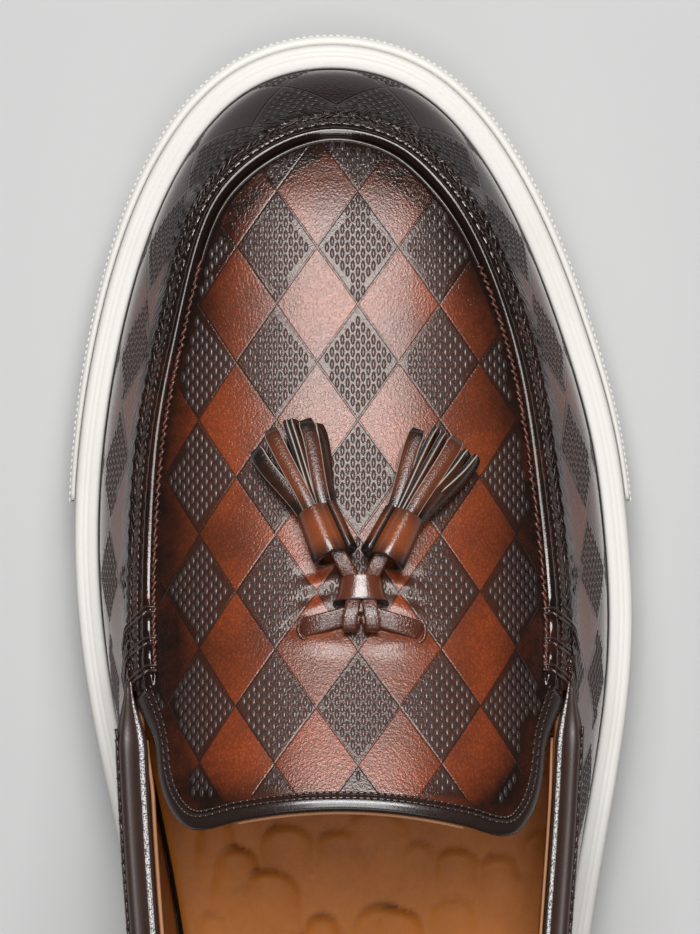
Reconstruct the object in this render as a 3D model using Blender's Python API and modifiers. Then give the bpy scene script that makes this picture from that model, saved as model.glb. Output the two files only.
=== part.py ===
"""Tassel loafer for the right foot on a rubber cup sole.

Metres, +Z up, the toe towards +Y and the outer side of the foot towards +X. The tables are in
millimetres. Every piece follows one closed plan curve, the feather line, where the upper leaves the rim
of the sole. Its sections run from the toe along the inner side to the heel and back along the outer side.
"""
import math

import bpy
import numpy as np
from mathutils import Matrix

MM = 0.001
GAP = 0.3
WALL = 2.0
STEP = 0.5
ROW_STEP = 0.02
MERGE = 0.05
ROLL_RESOLUTION = 2

# Sole: the part of the rim outside the upper, and the shape of the ground side
RIM_WIDTH = 5.2
TOE_END = 148.0
TOE_SPRING = 10.5
SPRING_FROM = 78.0
HEEL_END = -148.0
HEEL_BEVEL = 2.5
BEVEL_FROM = -132.0
ARCH_RISE = 1.8
ARCH_BACK = -58.0
ARCH_FRONT = 10.0

# Insole
FOOTBED = 4.0
FOOTBED_ROUND = 0.8
INSOLE_INSET = 2.8

# Upper: vamp crown, wall curve and raised seam
VAMP_HALF = 37.6
VAMP_LEAN = 0.026
LEAN_FROM = 22.0
CROWN_POWER = 2.4
WALL_LOW_HANDLE = 0.45
WALL_TOP_HANDLE = 0.30
WALL_STEPS = (0.2, 0.4, 0.6, 0.8, 1.0)
APRON_CELLS = 12
COLLAR_ROLL = 2.7
COLLAR_START = 0.33
TONGUE_ROLL = 1.2
TONGUE_BOW = 4.4
TONGUE_CUTS = 9

# Toe bumper
BUMPER_ENDS = 57.0
BUMPER_TOE = 2.1
BUMPER_SIDE = 1.2
RIB_PITCH = 1.25
RIB_DEPTH = 0.35
RIBS_PER_BAY = 4
BUMPER_FOOT = 4.5
BUMPER_HEAD = 5.5
BUMPER_LIP = 1.4
LIP_SHARE = 0.55
FINE_CUTS = 6001

# Thong, band and tassels
KNOT_X = 2.0
KNOT_Y = 39.9
BAND_HALF = 4.15
BAND_RISE = 4.3
BAND_SQUARE = 0.5
BAND_LENGTH = 4.4
BAND_THICK = 1.0
BAND_CUTS = 9
BAND_TIP = 0.05
CAP_LENGTH = 9.7
CAP_RADIUS = 4.1
CAP_MOUTH = 3.0
CAP_RECESS = 2.5
CAP_TURNS = 14
STRIP_WIDTH = 3.2
STRIP_THICK = 1.1
STRIP_ROOT = 1.5
STRIP_CUTS = 4
STRIP_START_ROLL = 0.5

# Side of a tassel's cap from its mouth to the fringe, (inset from the cap's radius, share of its length)
CAP_SIDE = ((0.4, 0.0), (0.0, 0.06), (0.1, 0.6), (0.3, 1.0))

# One row per section: feather line, top of the wall (no height: on the seam), fullness of the wall, cuts
SECTION_COLUMNS = ("name", "feather_x", "feather_y", "top_x", "top_y", "top_z", "bulge", "shoulder", "cuts")
SECTIONS = (
    ("toe", -3.5, 140.4, -2.6, 131.3, None, 0.8, 3.5, 3),
    ("inner toe turn", -20.2, 135.7, -14.7, 128.3, None, 0.8, 3.4, 3),
    ("inner toe corner", -31.1, 124.0, -24.4, 121.4, None, 0.8, 3.2, 3),
    ("inner toe side", -39.0, 107.5, -31.7, 109.4, None, 0.6, 2.8, 3),
    ("big toe", -44.2, 89.0, -36.7, 89.7, None, 0.5, 2.6, 3),
    ("inner fore ball", -47.5, 69.0, -40.4, 70.5, None, 0.4, 2.4, 3),
    ("inner ball", -48.6, 50.0, -41.9, 50.0, None, 0.4, 2.2, 3),
    ("inner aft ball", -47.6, 32.0, -42.0, 34.0, None, 0.4, 1.8, 2),
    ("inner throat", -45.4, 17.0, -41.5, 21.5, None, 0.6, 1.2, 3),
    ("inner quarter", -40.8, -5.0, -40.4, -2.0, 62.5, 1.0, 0.8, 3),
    ("inner waist", -36.2, -30.0, -38.6, -28.0, 62.0, 2.0, 1.2, 3),
    ("inner heel breast", -33.4, -62.0, -35.2, -62.0, 63.5, 2.5, 2.0, 4),
    ("inner heel", -33.4, -98.0, -28.6, -97.0, 68.5, 3.0, 3.0, 5),
    ("inner heel corner", -24.0, -130.0, -16.8, -123.5, 76.0, 3.2, 3.5, 4),
    ("heel", 1.5, -142.8, 1.5, -133.5, 79.5, 3.2, 3.5, 4),
    ("outer heel corner", 27.0, -130.0, 19.8, -123.5, 76.0, 3.2, 3.5, 5),
    ("outer heel", 36.4, -98.0, 31.6, -97.0, 68.5, 3.0, 3.0, 4),
    ("outer heel breast", 38.4, -62.0, 36.4, -62.0, 63.0, 2.0, 2.0, 3),
    ("outer waist", 41.6, -28.0, 38.4, -28.0, 61.5, 1.4, 1.2, 3),
    ("outer quarter", 45.4, -5.0, 40.2, -2.0, 62.0, 0.8, 0.8, 3),
    ("outer throat", 48.9, 17.0, 41.4, 21.5, None, 0.6, 1.2, 2),
    ("outer aft ball", 50.0, 34.0, 42.0, 34.0, None, 0.4, 1.8, 3),
    ("outer ball", 49.2, 50.0, 40.9, 50.0, None, 0.4, 2.2, 3),
    ("outer fore ball", 46.6, 69.0, 38.4, 70.5, None, 0.4, 2.4, 3),
    ("little toe", 40.9, 89.0, 34.4, 89.7, None, 0.5, 2.6, 3),
    ("outer toe side", 33.6, 108.0, 26.8, 109.4, None, 0.6, 2.8, 3),
    ("outer toe corner", 24.7, 124.0, 18.3, 121.4, None, 0.8, 3.2, 3),
    ("outer toe turn", 13.2, 135.7, 9.6, 128.3, None, 0.8, 3.4, 3),
)
THROAT_ROW = 8

# Height tables, (y, z), heel to toe
RIM_HEIGHT = ((-148, 33.5), (-110, 31.5), (-40, 28.5), (20, 26.5), (60, 26.0), (100, 26.8), (148, 30.0))
CUP_FLOOR = ((-148, 17.5), (-100, 17.0), (-40, 14.0), (20, 11.0), (70, 10.5), (110, 12.0), (148, 17.0))
VAMP_CENTRE = ((-8, 92.0), (0, 88.5), (10, 84.3), (30, 76.0), (50, 68.5), (70, 62.3), (90, 57.3), (105, 54.0),
               (118, 50.2), (127, 46.5), (132, 43.4))
CROWN_FALL = ((-8, 15.5), (22, 14.0), (50, 12.0), (70, 10.5), (90, 10.0), (132, 10.0))

# Raised seam, (distance inward from the top of the wall, height above the vamp)
SEAM_STEPS = ((1.8, 1.1), (3.8, 1.8), (6.0, 0.0))

# Tongue edge on each side behind the throat, (share of the way, inner x, y, outer x, y)
TONGUE_EDGE = (
    (0.33, -35.1, 14.3, 35.3, 14.0),
    (0.66, -33.8, 6.0, 34.0, 5.4),
    (0.88, -31.5, 1.2, 31.8, 0.2),
    (1.0, -28.0, -0.8, 28.4, -1.9),
)

# Side of the sole from the ground up and over the rim, (outside the feather line, from, offset)
SOLE_SIDE = (
    (3.2, "ground", 0.0),
    (4.5, "ground", 1.1),
    (5.0, "ground", 4.0),
    (5.2, "rim", -5.0),
    (4.7, "rim", -1.2),
    (4.0, "rim", -0.5),
    (2.9, "rim", -0.5),
    (2.6, "rim", -1.2),
    (2.3, "rim", -0.1),
    (0.7, "rim", 0.0),
    (GAP, "rim", -0.3),
    (GAP, "floor", 0.0),
)

# Thong that ties the tassels, (strand, half width, half thickness, points of x, y, height above the vamp)
STRANDS = (
    ("core", 2.5, 1.1, ((KNOT_X, 34.6, 1.5), (KNOT_X, 42.6, 1.6))),
    ("inner strap", 1.8, 0.6, ((-9.2, 33.3, 0.95), (-5.4, 34.2, 1.0), (-1.6, 35.0, 1.1), (1.4, 35.5, 1.2))),
    ("outer strap", 1.8, 0.6, ((13.2, 32.9, 0.95), (9.4, 33.9, 1.0), (5.6, 34.9, 1.1), (2.6, 35.4, 1.2))),
    ("inner loop", 1.45, 1.15, ((0.35, 32.9, 2.5), (0.35, 34.0, 2.7), (0.45, 36.0, 2.5), (0.6, 38.6, 1.6))),
    ("outer loop", 1.45, 1.15, ((3.75, 32.9, 2.5), (3.75, 34.0, 2.7), (3.6, 36.0, 2.5), (3.4, 38.6, 1.6))),
    ("inner end", 1.3, 0.6, ((1.0, 41.0, 1.7), (0.5, 42.6, 2.6), (-2.7, 46.6, 4.6))),
    ("outer end", 1.3, 0.6, ((3.0, 41.0, 1.7), (3.5, 42.4, 2.6), (5.9, 46.0, 4.6))),
)

# Tassels, (name, x and y of the cap's mouth, turn outwards, fall towards the toe, strips)
# Each strip: across at the cap, height there, across at the tip, height there, length, roll
TASSELS = (
    ("tassel_medial", -2.6, 45.4, -22.4, 19.5, (
        (-2.3, 0.2, -6.6, -0.9, 15.6, -18.0),
        (-1.0, 1.5, -1.9, -0.2, 17.8, 4.0),
        (0.5, -0.2, 1.7, -0.5, 18.2, 74.0),
        (1.5, 1.2, 4.4, -0.4, 17.0, 10.0),
        (2.2, -0.9, 6.8, -0.9, 14.2, 62.0),
    )),
    ("tassel_lateral", 5.6, 44.7, 27.2, 20.0, (
        (-2.2, 0.4, -5.0, -0.2, 17.6, -12.0),
        (-0.8, -0.2, -1.1, -0.5, 18.4, 72.0),
        (0.7, 1.5, 2.3, -0.2, 17.8, 8.0),
        (2.2, 0.2, 6.2, -0.9, 16.8, 38.0),
        (0.2, -1.7, 0.4, -1.9, 15.0, 2.0),
    )),
)

COLOURS = {
    "rubber": ((0.86, 0.86, 0.86, 1.0), 0.55),
    "footbed": ((0.42, 0.22, 0.09, 1.0), 0.70),
    "leather": ((0.11, 0.035, 0.016, 1.0), 0.35),
    "binding": ((0.030, 0.017, 0.014, 1.0), 0.32),
    "thong": ((0.060, 0.026, 0.018, 1.0), 0.40),
    "tassel": ((0.040, 0.020, 0.016, 1.0), 0.45),
}


def clear_scene():
    """Start from an empty scene."""
    for item in list(bpy.data.objects):
        bpy.data.objects.remove(item, do_unlink=True)


def new_collection(name):
    collection = bpy.data.collections.new(name)
    bpy.context.scene.collection.children.link(collection)
    return collection


def material(name):
    """One Principled material for a piece, from the colour table."""
    colour, roughness = COLOURS[name]
    made = bpy.data.materials.get(name) or bpy.data.materials.new(name)
    made.use_nodes = True
    shader = made.node_tree.nodes["Principled BSDF"]
    shader.inputs["Base Color"].default_value = colour
    shader.inputs["Roughness"].default_value = roughness
    shader.inputs["Metallic"].default_value = 0.0
    return made


def smooth_curve(table):
    """A smooth function through the rows of a height table."""
    at = np.array([row[0] for row in table], float)
    value = np.array([row[1] for row in table], float)
    slope = np.gradient(value, at)

    def height(y):
        y = np.clip(np.asarray(y, float), at[0], at[-1])
        i = np.clip(np.searchsorted(at, y) - 1, 0, len(at) - 2)
        span = at[i + 1] - at[i]
        b = (y - at[i]) / span
        a = 1.0 - b
        ends = value[i] * a * a * (1.0 + 2.0 * b) + value[i + 1] * b * b * (1.0 + 2.0 * a)
        return ends + span * a * b * (slope[i] * a - slope[i + 1] * b)
    return height


def closed_spline(table):
    """A closed cubic spline through the rows; a position counts rows, the first two columns are the plan."""
    points = np.array(table, float)
    count = len(points)
    ahead = np.roll(points, -1, axis=0)
    span = np.linalg.norm((ahead - points)[:, :2], axis=1)
    behind = np.roll(span, 1)
    rise = (ahead - points) / span[:, None]
    system = np.zeros((count, count))
    for i in range(count):
        system[i, i - 1] += behind[i]
        system[i, i] += 2.0 * (behind[i] + span[i])
        system[i, (i + 1) % count] += span[i]
    bend = np.linalg.solve(system, 6.0 * (rise - np.roll(rise, 1, axis=0)))

    def at(position):
        position = np.atleast_1d(position) % count
        i = np.floor(position).astype(int)
        j = (i + 1) % count
        h = span[i][:, None]
        b = (position - i)[:, None]
        a = 1.0 - b
        bow = (a ** 3 - a) * bend[i] + (b ** 3 - b) * bend[j]
        return a * points[i] + b * points[j] + bow * h * h / 6.0
    return at


rim_z = smooth_curve(RIM_HEIGHT)
floor_z = smooth_curve(CUP_FLOOR)
vamp_centre = smooth_curve(VAMP_CENTRE)
crown_fall = smooth_curve(CROWN_FALL)


def ground_z(y):
    """Ground side of the sole: flat heel and forefoot, low arch, toe spring and heel bevel."""
    toe = np.clip((y - SPRING_FROM) / (TOE_END - SPRING_FROM), 0.0, 1.0)
    heel = np.clip((BEVEL_FROM - y) / (BEVEL_FROM - HEEL_END), 0.0, 1.0)
    arch = np.clip((y - ARCH_BACK) / (ARCH_FRONT - ARCH_BACK), 0.0, 1.0)
    return TOE_SPRING * toe ** 2 + HEEL_BEVEL * heel ** 2 + ARCH_RISE * np.sin(math.pi * arch) ** 2


def vamp_z(x, y):
    """Top surface of the apron: the centre profile less the fall of the crown to each side."""
    middle = -VAMP_LEAN * np.clip(y - LEAN_FROM, 0.0, None)
    across = np.abs(x - middle) / VAMP_HALF
    return vamp_centre(y) - crown_fall(y) * across ** CROWN_POWER


def on_vamp(x, y, lift):
    """A point that stands a given height off the vamp, and the direction away from it."""
    slope_x = (vamp_z(x + STEP, y) - vamp_z(x - STEP, y)) / (2.0 * STEP)
    slope_y = (vamp_z(x, y + STEP) - vamp_z(x, y - STEP)) / (2.0 * STEP)
    away = np.array([-slope_x, -slope_y, 1.0])
    away /= np.linalg.norm(away)
    return np.array([x, y, float(vamp_z(x, y))]) + lift * away, away


def last_rows():
    """The section table as numbers, with the seam heights taken from the vamp."""
    rows = []
    for entry in SECTIONS:
        row = dict(zip(SECTION_COLUMNS, entry))
        top_z = row["top_z"]
        if top_z is None:
            top_z = float(vamp_z(row["top_x"], row["top_y"]))
        rows.append((row["feather_x"], row["feather_y"], row["top_x"], row["top_y"], top_z, row["bulge"],
                     row["shoulder"]))
    return rows


last = closed_spline(last_rows())


def outward(position, column):
    """Plan normal of the feather line (column 0) or of the wall top (column 2)."""
    along = (last(position + ROW_STEP) - last(position - ROW_STEP))[:, column:column + 2]
    along /= np.linalg.norm(along, axis=1)[:, None]
    return np.column_stack([along[:, 1], -along[:, 0]])


def columns():
    """Positions of all the columns round the shoe, and the number of the column at the throat."""
    positions = []
    throat = 0
    for i, entry in enumerate(SECTIONS):
        if i == THROAT_ROW:
            throat = len(positions)
        cuts = entry[-1]
        positions.extend(i + k / cuts for k in range(cuts))
    return np.array(positions), throat


COLUMNS, THROAT = columns()
COUNT = len(COLUMNS)
FEATHER = last(COLUMNS)[:, 0:2]
FEATHER_OUT = outward(COLUMNS, 0)
TOP = last(COLUMNS)[:, 2:5]
TOP_OUT = outward(COLUMNS, 2)


def ring(distance, height):
    """The feather line moved outwards in plan, at the height of a given function of y."""
    plan = FEATHER + FEATHER_OUT * distance
    return np.column_stack([plan, height(plan[:, 1])])


def mesh_object(name, points, faces, colour, collection):
    """A smooth-shaded mesh object from points in millimetres."""
    mesh = bpy.data.meshes.new(name)
    mesh.from_pydata((np.array(points) * MM).tolist(), [], faces)
    mesh.polygons.foreach_set("use_smooth", [True] * len(mesh.polygons))
    mesh.validate()
    mesh.materials.append(material(colour))
    made = bpy.data.objects.new(name, mesh)
    collection.objects.link(made)
    return made


def ladder(first, count, upward):
    """Faces across a ring whose two halves run from the toe to the heel."""
    faces = []
    for i in range(count // 2):
        corners = [first + i, first + i + 1, first + (count - i - 1) % count, first + (count - i) % count]
        face = list(dict.fromkeys(corners))
        faces.append(face if upward else face[::-1])
    return faces


def closed_loft(name, rings, colour, collection):
    """A solid through closed rings, the first seen from below and the last seen from above."""
    points = np.vstack(rings)
    faces = ladder(0, COUNT, False)
    for j in range(len(rings) - 1):
        for i in range(COUNT):
            k = (i + 1) % COUNT
            low = j * COUNT
            faces.append([low + i, low + k, low + COUNT + k, low + COUNT + i])
    faces += ladder((len(rings) - 1) * COUNT, COUNT, True)
    return mesh_object(name, points, faces, colour, collection)


def make_sole(collection):
    levels = {"ground": ground_z, "rim": rim_z, "floor": floor_z}
    rings = []
    for distance, level, offset in SOLE_SIDE:
        rings.append(ring(distance, lambda y: levels[level](y) + offset))
    return closed_loft("sole", rings, "rubber", collection)


def make_insole(collection):
    rings = [
        ring(-INSOLE_INSET, lambda y: floor_z(y) + GAP),
        ring(-INSOLE_INSET, lambda y: floor_z(y) + FOOTBED - FOOTBED_ROUND),
        ring(-INSOLE_INSET - FOOTBED_ROUND, lambda y: floor_z(y) + FOOTBED),
    ]
    return closed_loft("insole", rings, "footbed", collection)


def wall_rings():
    """Rings of the side wall from the cup floor to the wall top, one Bezier curve per column."""
    out = np.column_stack([FEATHER_OUT, np.zeros(COUNT)])
    up = np.array([0.0, 0.0, 1.0])
    sizes = last(COLUMNS)
    bulge = sizes[:, 5:6]
    shoulder = sizes[:, 6:7]
    foot = ring(0.0, rim_z)
    rise = (TOP[:, 2:3] - foot[:, 2:3])
    low = foot + up * WALL_LOW_HANDLE * rise + out * bulge
    high = TOP - up * WALL_TOP_HANDLE * rise + out * shoulder
    rings = [ring(0.0, lambda y: floor_z(y) + GAP), foot]
    for t in WALL_STEPS:
        s = 1.0 - t
        rings.append(s ** 3 * foot + 3 * s * s * t * low + 3 * s * t * t * high + t ** 3 * TOP)
    return rings


def seam_ring(inward, raised):
    """Points of the raised seam at a distance inside the wall top, for every column."""
    plan = TOP[:, 0:2] - TOP_OUT * inward
    return np.column_stack([plan, vamp_z(plan[:, 0], plan[:, 1]) + raised])


def tongue_rows(shares):
    """Rows of points behind the throat, out to the end of the tongue, at given shares of its width."""
    rows = []
    for reach, inner_x, inner_y, outer_x, outer_y in TONGUE_EDGE:
        x = inner_x + (outer_x - inner_x) * shares
        y = inner_y + (outer_y - inner_y) * shares
        y = y + TONGUE_BOW * reach ** 2 * (1.0 - (2.0 * shares - 1.0) ** 2)
        rows.append(np.column_stack([x, y, vamp_z(x, y)]))
    return rows


def make_upper(collection):
    """One open surface (wall, seam, apron, tongue) that Solidify turns into the hollow upper."""
    points = []
    faces = []

    def add(new_points):
        start = len(points)
        points.extend(np.asarray(new_points).tolist())
        return list(range(start, len(points)))

    rings = [add(r) for r in wall_rings()]
    for low, high in zip(rings, rings[1:]):
        for i in range(COUNT):
            k = (i + 1) % COUNT
            faces.append([low[i], low[k], high[k], high[i]])

    front = list(range(COUNT - THROAT, COUNT)) + list(range(0, THROAT + 1))
    seam = [{c: rings[-1][c] for c in front}]
    for inward, raised in SEAM_STEPS:
        level = seam_ring(inward, raised)
        ids = add(level[front])
        seam.append(dict(zip(front, ids)))
    for low, high in zip(seam, seam[1:]):
        for a, b in zip(front, front[1:]):
            faces.append([low[a], low[b], high[b], high[a]])

    edge = seam[-1]
    shares = np.linspace(0.0, 1.0, APRON_CELLS + 1)
    rows = [[edge[0]] * (APRON_CELLS + 1)]
    for i in range(1, THROAT + 1):
        start = np.array(points[edge[i]])
        end = np.array(points[edge[COUNT - i]])
        x = start[0] + (end[0] - start[0]) * shares[1:-1]
        y = start[1] + (end[1] - start[1]) * shares[1:-1]
        inside = add(np.column_stack([x, y, vamp_z(x, y)]))
        rows.append([edge[i]] + inside + [edge[COUNT - i]])
    crest = seam[-2]
    throat_row = [crest[THROAT]] + rows[-1] + [crest[COUNT - THROAT]]

    across = np.array([points[p][0] for p in throat_row])
    tongue_shares = (across - across[0]) / (across[-1] - across[0])
    behind = [throat_row] + [add(r) for r in tongue_rows(tongue_shares)]
    for fore, aft in list(zip(rows, rows[1:])) + list(zip(behind, behind[1:])):
        for k in range(len(fore) - 1):
            face = [aft[k], aft[k + 1], fore[k + 1], fore[k]]
            faces.append(list(dict.fromkeys(face)))

    made = mesh_object("upper", points, faces, "leather", collection)
    shell = made.modifiers.new("Wall", "SOLIDIFY")
    shell.thickness = WALL * MM
    shell.offset = -1.0
    shell.use_even_offset = True
    shell.use_quality_normals = True
    return made


def make_tube(name, path, radius, colour, collection):
    """A round roll along a path, as a bevelled curve with filled ends."""
    data = bpy.data.curves.new(name, "CURVE")
    data.dimensions = "3D"
    data.bevel_depth = radius * MM
    data.bevel_resolution = ROLL_RESOLUTION
    data.use_fill_caps = True
    spline = data.splines.new("POLY")
    spline.points.add(len(path) - 1)
    for point, place in zip(spline.points, path):
        point.co = (place[0] * MM, place[1] * MM, place[2] * MM, 1.0)
    data.materials.append(material(colour))
    made = bpy.data.objects.new(name, data)
    collection.objects.link(made)
    return made


def make_collar(collection):
    """The padded roll that stands on the wall top from the throat round the heel."""
    span = slice(THROAT, COUNT - THROAT + 1)
    inward = np.column_stack([-TOP_OUT, np.zeros(COUNT)])[span]
    path = TOP[span] + inward * WALL / 2.0
    path[:, 2] += COLLAR_ROLL + GAP
    path[0] += (path[1] - path[0]) * COLLAR_START
    path[-1] += (path[-2] - path[-1]) * COLLAR_START
    return make_tube("collar_roll", path, COLLAR_ROLL, "binding", collection)


def make_bumper(collection):
    """The ribbed strip round the toe; each bay of ribs shares one piece of its smooth back."""
    fine = np.linspace(-len(SECTIONS) / 2.0, len(SECTIONS) / 2.0, FINE_CUTS)
    plan = last(fine)[:, 0:2] + outward(fine, 0) * RIM_WIDTH
    ahead = plan[:, 1] > BUMPER_ENDS
    fine = fine[ahead]
    run = np.concatenate([[0.0], np.cumsum(np.linalg.norm(np.diff(plan[ahead], axis=0), axis=1))])
    bays = int(run[-1] / RIB_PITCH / RIBS_PER_BAY)
    step = 2 * RIBS_PER_BAY
    steps = bays * step
    place = np.interp(np.linspace(0.0, run[-1], steps + 1), run, fine)
    line = last(place)[:, 0:2]
    out = outward(place, 0)
    toe_share = np.clip((line[:, 1] - BUMPER_ENDS) / (TOE_END - RIM_WIDTH - BUMPER_ENDS), 0.0, 1.0)
    thick = BUMPER_SIDE + (BUMPER_TOE - BUMPER_SIDE) * toe_share
    thick = thick - RIB_DEPTH * (np.arange(steps + 1) % 2)

    def low(y):
        return ground_z(y) + BUMPER_FOOT

    def high(y):
        return rim_z(y) - BUMPER_HEAD

    def level(thickness, height):
        flat = line + out * (RIM_WIDTH + GAP + thickness)[:, None]
        return np.column_stack([flat, height(flat[:, 1])])

    levels = [
        level(0.0 * thick, low)[::step],
        level(thick, low),
        level(thick, lambda y: high(y) - BUMPER_LIP),
        level(thick * LIP_SHARE, high),
        level(0.0 * thick, high)[::step],
    ]
    starts = [int(n) for n in np.cumsum([0] + [len(entry) for entry in levels])]
    faces = []
    for j in (1, 2):
        for i in range(steps):
            a = starts[j] + i
            b = starts[j + 1] + i
            faces.append([a, a + 1, b + 1, b])
    for bay in range(bays):
        foot = starts[0] + bay
        head = starts[4] + bay
        run_low = [starts[1] + bay * step + k for k in range(step + 1)]
        run_high = [starts[3] + bay * step + k for k in range(step + 1)]
        faces.append([foot, foot + 1] + run_low[::-1])
        faces.append(run_high + [head + 1, head])
        faces.append([head, head + 1, foot + 1, foot])
    for i, turn in ((0, 1), (steps, -1)):
        end = [starts[0] + i // step, starts[1] + i, starts[2] + i, starts[3] + i, starts[4] + i // step]
        faces.append(end[::turn])
    return mesh_object("toe_bumper", np.vstack(levels), faces, "rubber", collection)


def make_bar(name, spine, ups, half_width, half_thick, colour, collection):
    """A flat strap along a spine; each up direction faces away from the leather below."""
    spine = np.array(spine)
    along = np.gradient(spine, axis=0)
    points = []
    for place, ahead, up in zip(spine, along, ups):
        side = np.cross(ahead, up)
        side /= np.linalg.norm(side)
        top = np.cross(side, ahead)
        top /= np.linalg.norm(top)
        for w, h in ((-1, -1), (1, -1), (1, 1), (-1, 1)):
            points.append(place + side * w * half_width + top * h * half_thick)
    faces = [[0, 1, 2, 3]]
    for i in range(len(spine) - 1):
        for k in range(4):
            m = (k + 1) % 4
            faces.append([4 * i + k, 4 * i + 4 + k, 4 * i + 4 + m, 4 * i + m])
    last_ring = 4 * (len(spine) - 1)
    faces.append([last_ring + 3, last_ring + 2, last_ring + 1, last_ring])
    return mesh_object(name, points, faces, colour, collection)


def unite(base, helpers):
    """Join helper shapes to a base with exact Boolean unions."""
    for helper in helpers:
        helper.hide_render = True
        helper.display_type = "WIRE"
        join = base.modifiers.new("Join " + helper.name, "BOOLEAN")
        join.operation = "UNION"
        join.solver = "EXACT"
        join.object = helper


def make_tie(collection, cutters):
    """The thong: straps from the slits, folded loops and the ends that run into the tassels."""
    bars = []
    for number, (name, half_width, half_thick, places) in enumerate(STRANDS):
        stood = [on_vamp(*place) for place in places]
        spine = [entry[0] for entry in stood]
        ups = [entry[1] for entry in stood]
        home = cutters if number else collection
        label = "tassel_tie " + name if number else "tassel_tie"
        bars.append(make_bar(label, spine, ups, half_width, half_thick, "thong", home))
    unite(bars[0], bars[1:])
    return bars[0]


def make_band(collection):
    """The arch of leather over the thong."""
    spine = []
    ups = []
    for angle in np.linspace(0.0, math.pi, BAND_CUTS):
        x = KNOT_X - BAND_HALF * math.cos(angle)
        place, away = on_vamp(x, KNOT_Y, GAP + BAND_RISE * math.sin(angle) ** BAND_SQUARE)
        spine.append(place)
        sideways = np.array([-math.cos(angle), 0.0, 0.0])
        ups.append(sideways + away * (math.sin(angle) + BAND_TIP))
    return make_bar("knot_band", spine, ups, BAND_LENGTH / 2.0, BAND_THICK / 2.0, "thong", collection)


def make_tassel(name, x, y, turn, fall, strips, collection, cutters):
    """A rolled cap, turned on its axis, with its cut strips joined on."""
    base = on_vamp(x, y, CAP_RADIUS + 2.0 * GAP)[0]
    turned_out = Matrix.Rotation(math.radians(-turn), 4, "Z")
    tipped = Matrix.Rotation(math.radians(-fall), 4, "X")
    frame = Matrix.Translation((base * MM).tolist()) @ turned_out @ tipped

    profile = [(0.0, CAP_RECESS), (CAP_MOUTH, CAP_RECESS), (CAP_MOUTH, 0.0)]
    profile += [(CAP_RADIUS - inset, CAP_LENGTH * share) for inset, share in CAP_SIDE]
    profile.append((0.0, CAP_LENGTH))
    mesh = bpy.data.meshes.new(name)
    edges = [(i, i + 1) for i in range(len(profile) - 1)]
    mesh.from_pydata([(r * MM, a * MM, 0.0) for r, a in profile], edges, [])
    mesh.materials.append(material("tassel"))
    cap = bpy.data.objects.new(name, mesh)
    cap.matrix_world = frame
    collection.objects.link(cap)
    turned = cap.modifiers.new("Turn", "SCREW")
    turned.axis = "Y"
    turned.steps = CAP_TURNS
    turned.render_steps = CAP_TURNS
    turned.use_merge_vertices = True
    turned.merge_threshold = MERGE * MM
    turned.use_normal_calculate = True

    helpers = []
    for number, (from_x, from_z, tip_x, tip_z, length, roll) in enumerate(strips):
        spine = []
        ups = []
        for t in np.linspace(0.0, 1.0, STRIP_CUTS):
            sway = t * t * (3.0 - 2.0 * t)
            along = CAP_LENGTH - STRIP_ROOT + (length + STRIP_ROOT) * t
            spine.append((from_x + (tip_x - from_x) * sway, along, from_z + (tip_z - from_z) * sway))
            angle = math.radians(roll) * (STRIP_START_ROLL + (1.0 - STRIP_START_ROLL) * t)
            ups.append(np.array([math.sin(angle), 0.0, math.cos(angle)]))
        strip = make_bar("%s strip %d" % (name, number), spine, ups, STRIP_WIDTH / 2.0, STRIP_THICK / 2.0,
                         "tassel", cutters)
        strip.matrix_world = frame
        helpers.append(strip)
    unite(cap, helpers)
    return cap


def make_tongue_binding(collection):
    """The thin roll just outside the tongue's edge."""
    edge = [(row[1], row[2]) for row in TONGUE_EDGE]
    far = [(row[3], row[4]) for row in TONGUE_EDGE]
    across = np.linspace(0.0, 1.0, TONGUE_CUTS)[1:-1]
    inner_end = np.array(edge[-1])
    outer_end = np.array(far[-1])
    end = []
    for share in across:
        place = inner_end + (outer_end - inner_end) * share
        end.append((place[0], place[1] + TONGUE_BOW * (1.0 - (2.0 * share - 1.0) ** 2)))
    plan = np.array(edge + end + far[::-1])
    along = np.gradient(plan, axis=0)
    along /= np.linalg.norm(along, axis=1)[:, None]
    outside = np.column_stack([along[:, 1], -along[:, 0]])
    path = []
    for place, out in zip(plan, outside):
        away = on_vamp(place[0], place[1], 0.0)[1]
        level = np.array([out[0], out[1], 0.0])
        level -= away * level.dot(away)
        level /= np.linalg.norm(level)
        seat = on_vamp(place[0], place[1], -WALL / 2.0)[0]
        path.append(seat + level * (TONGUE_ROLL + 2.0 * GAP))
    return make_tube("tongue_binding", path, TONGUE_ROLL, "binding", collection)


def main():
    clear_scene()
    shoe = new_collection("Tassel loafer")
    cutters = new_collection("Helper shapes")
    make_sole(shoe)
    make_bumper(shoe)
    make_insole(shoe)
    make_upper(shoe)
    make_collar(shoe)
    make_tongue_binding(shoe)
    make_tie(shoe, cutters)
    make_band(shoe)
    for name, x, y, turn, fall, strips in TASSELS:
        make_tassel(name, x, y, turn, fall, strips, shoe, cutters)


main()
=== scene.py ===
# %% [markdown]
# # Dressing a tassel loafer
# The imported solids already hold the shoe's true size and last shape. This script gives every piece the
# surface of the real one: burnished leather, thread, rolled edges, rubber ribs. The frame is loaded first,
# because every place below is worked out in its millimetres.

# %% The frame
import math

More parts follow.
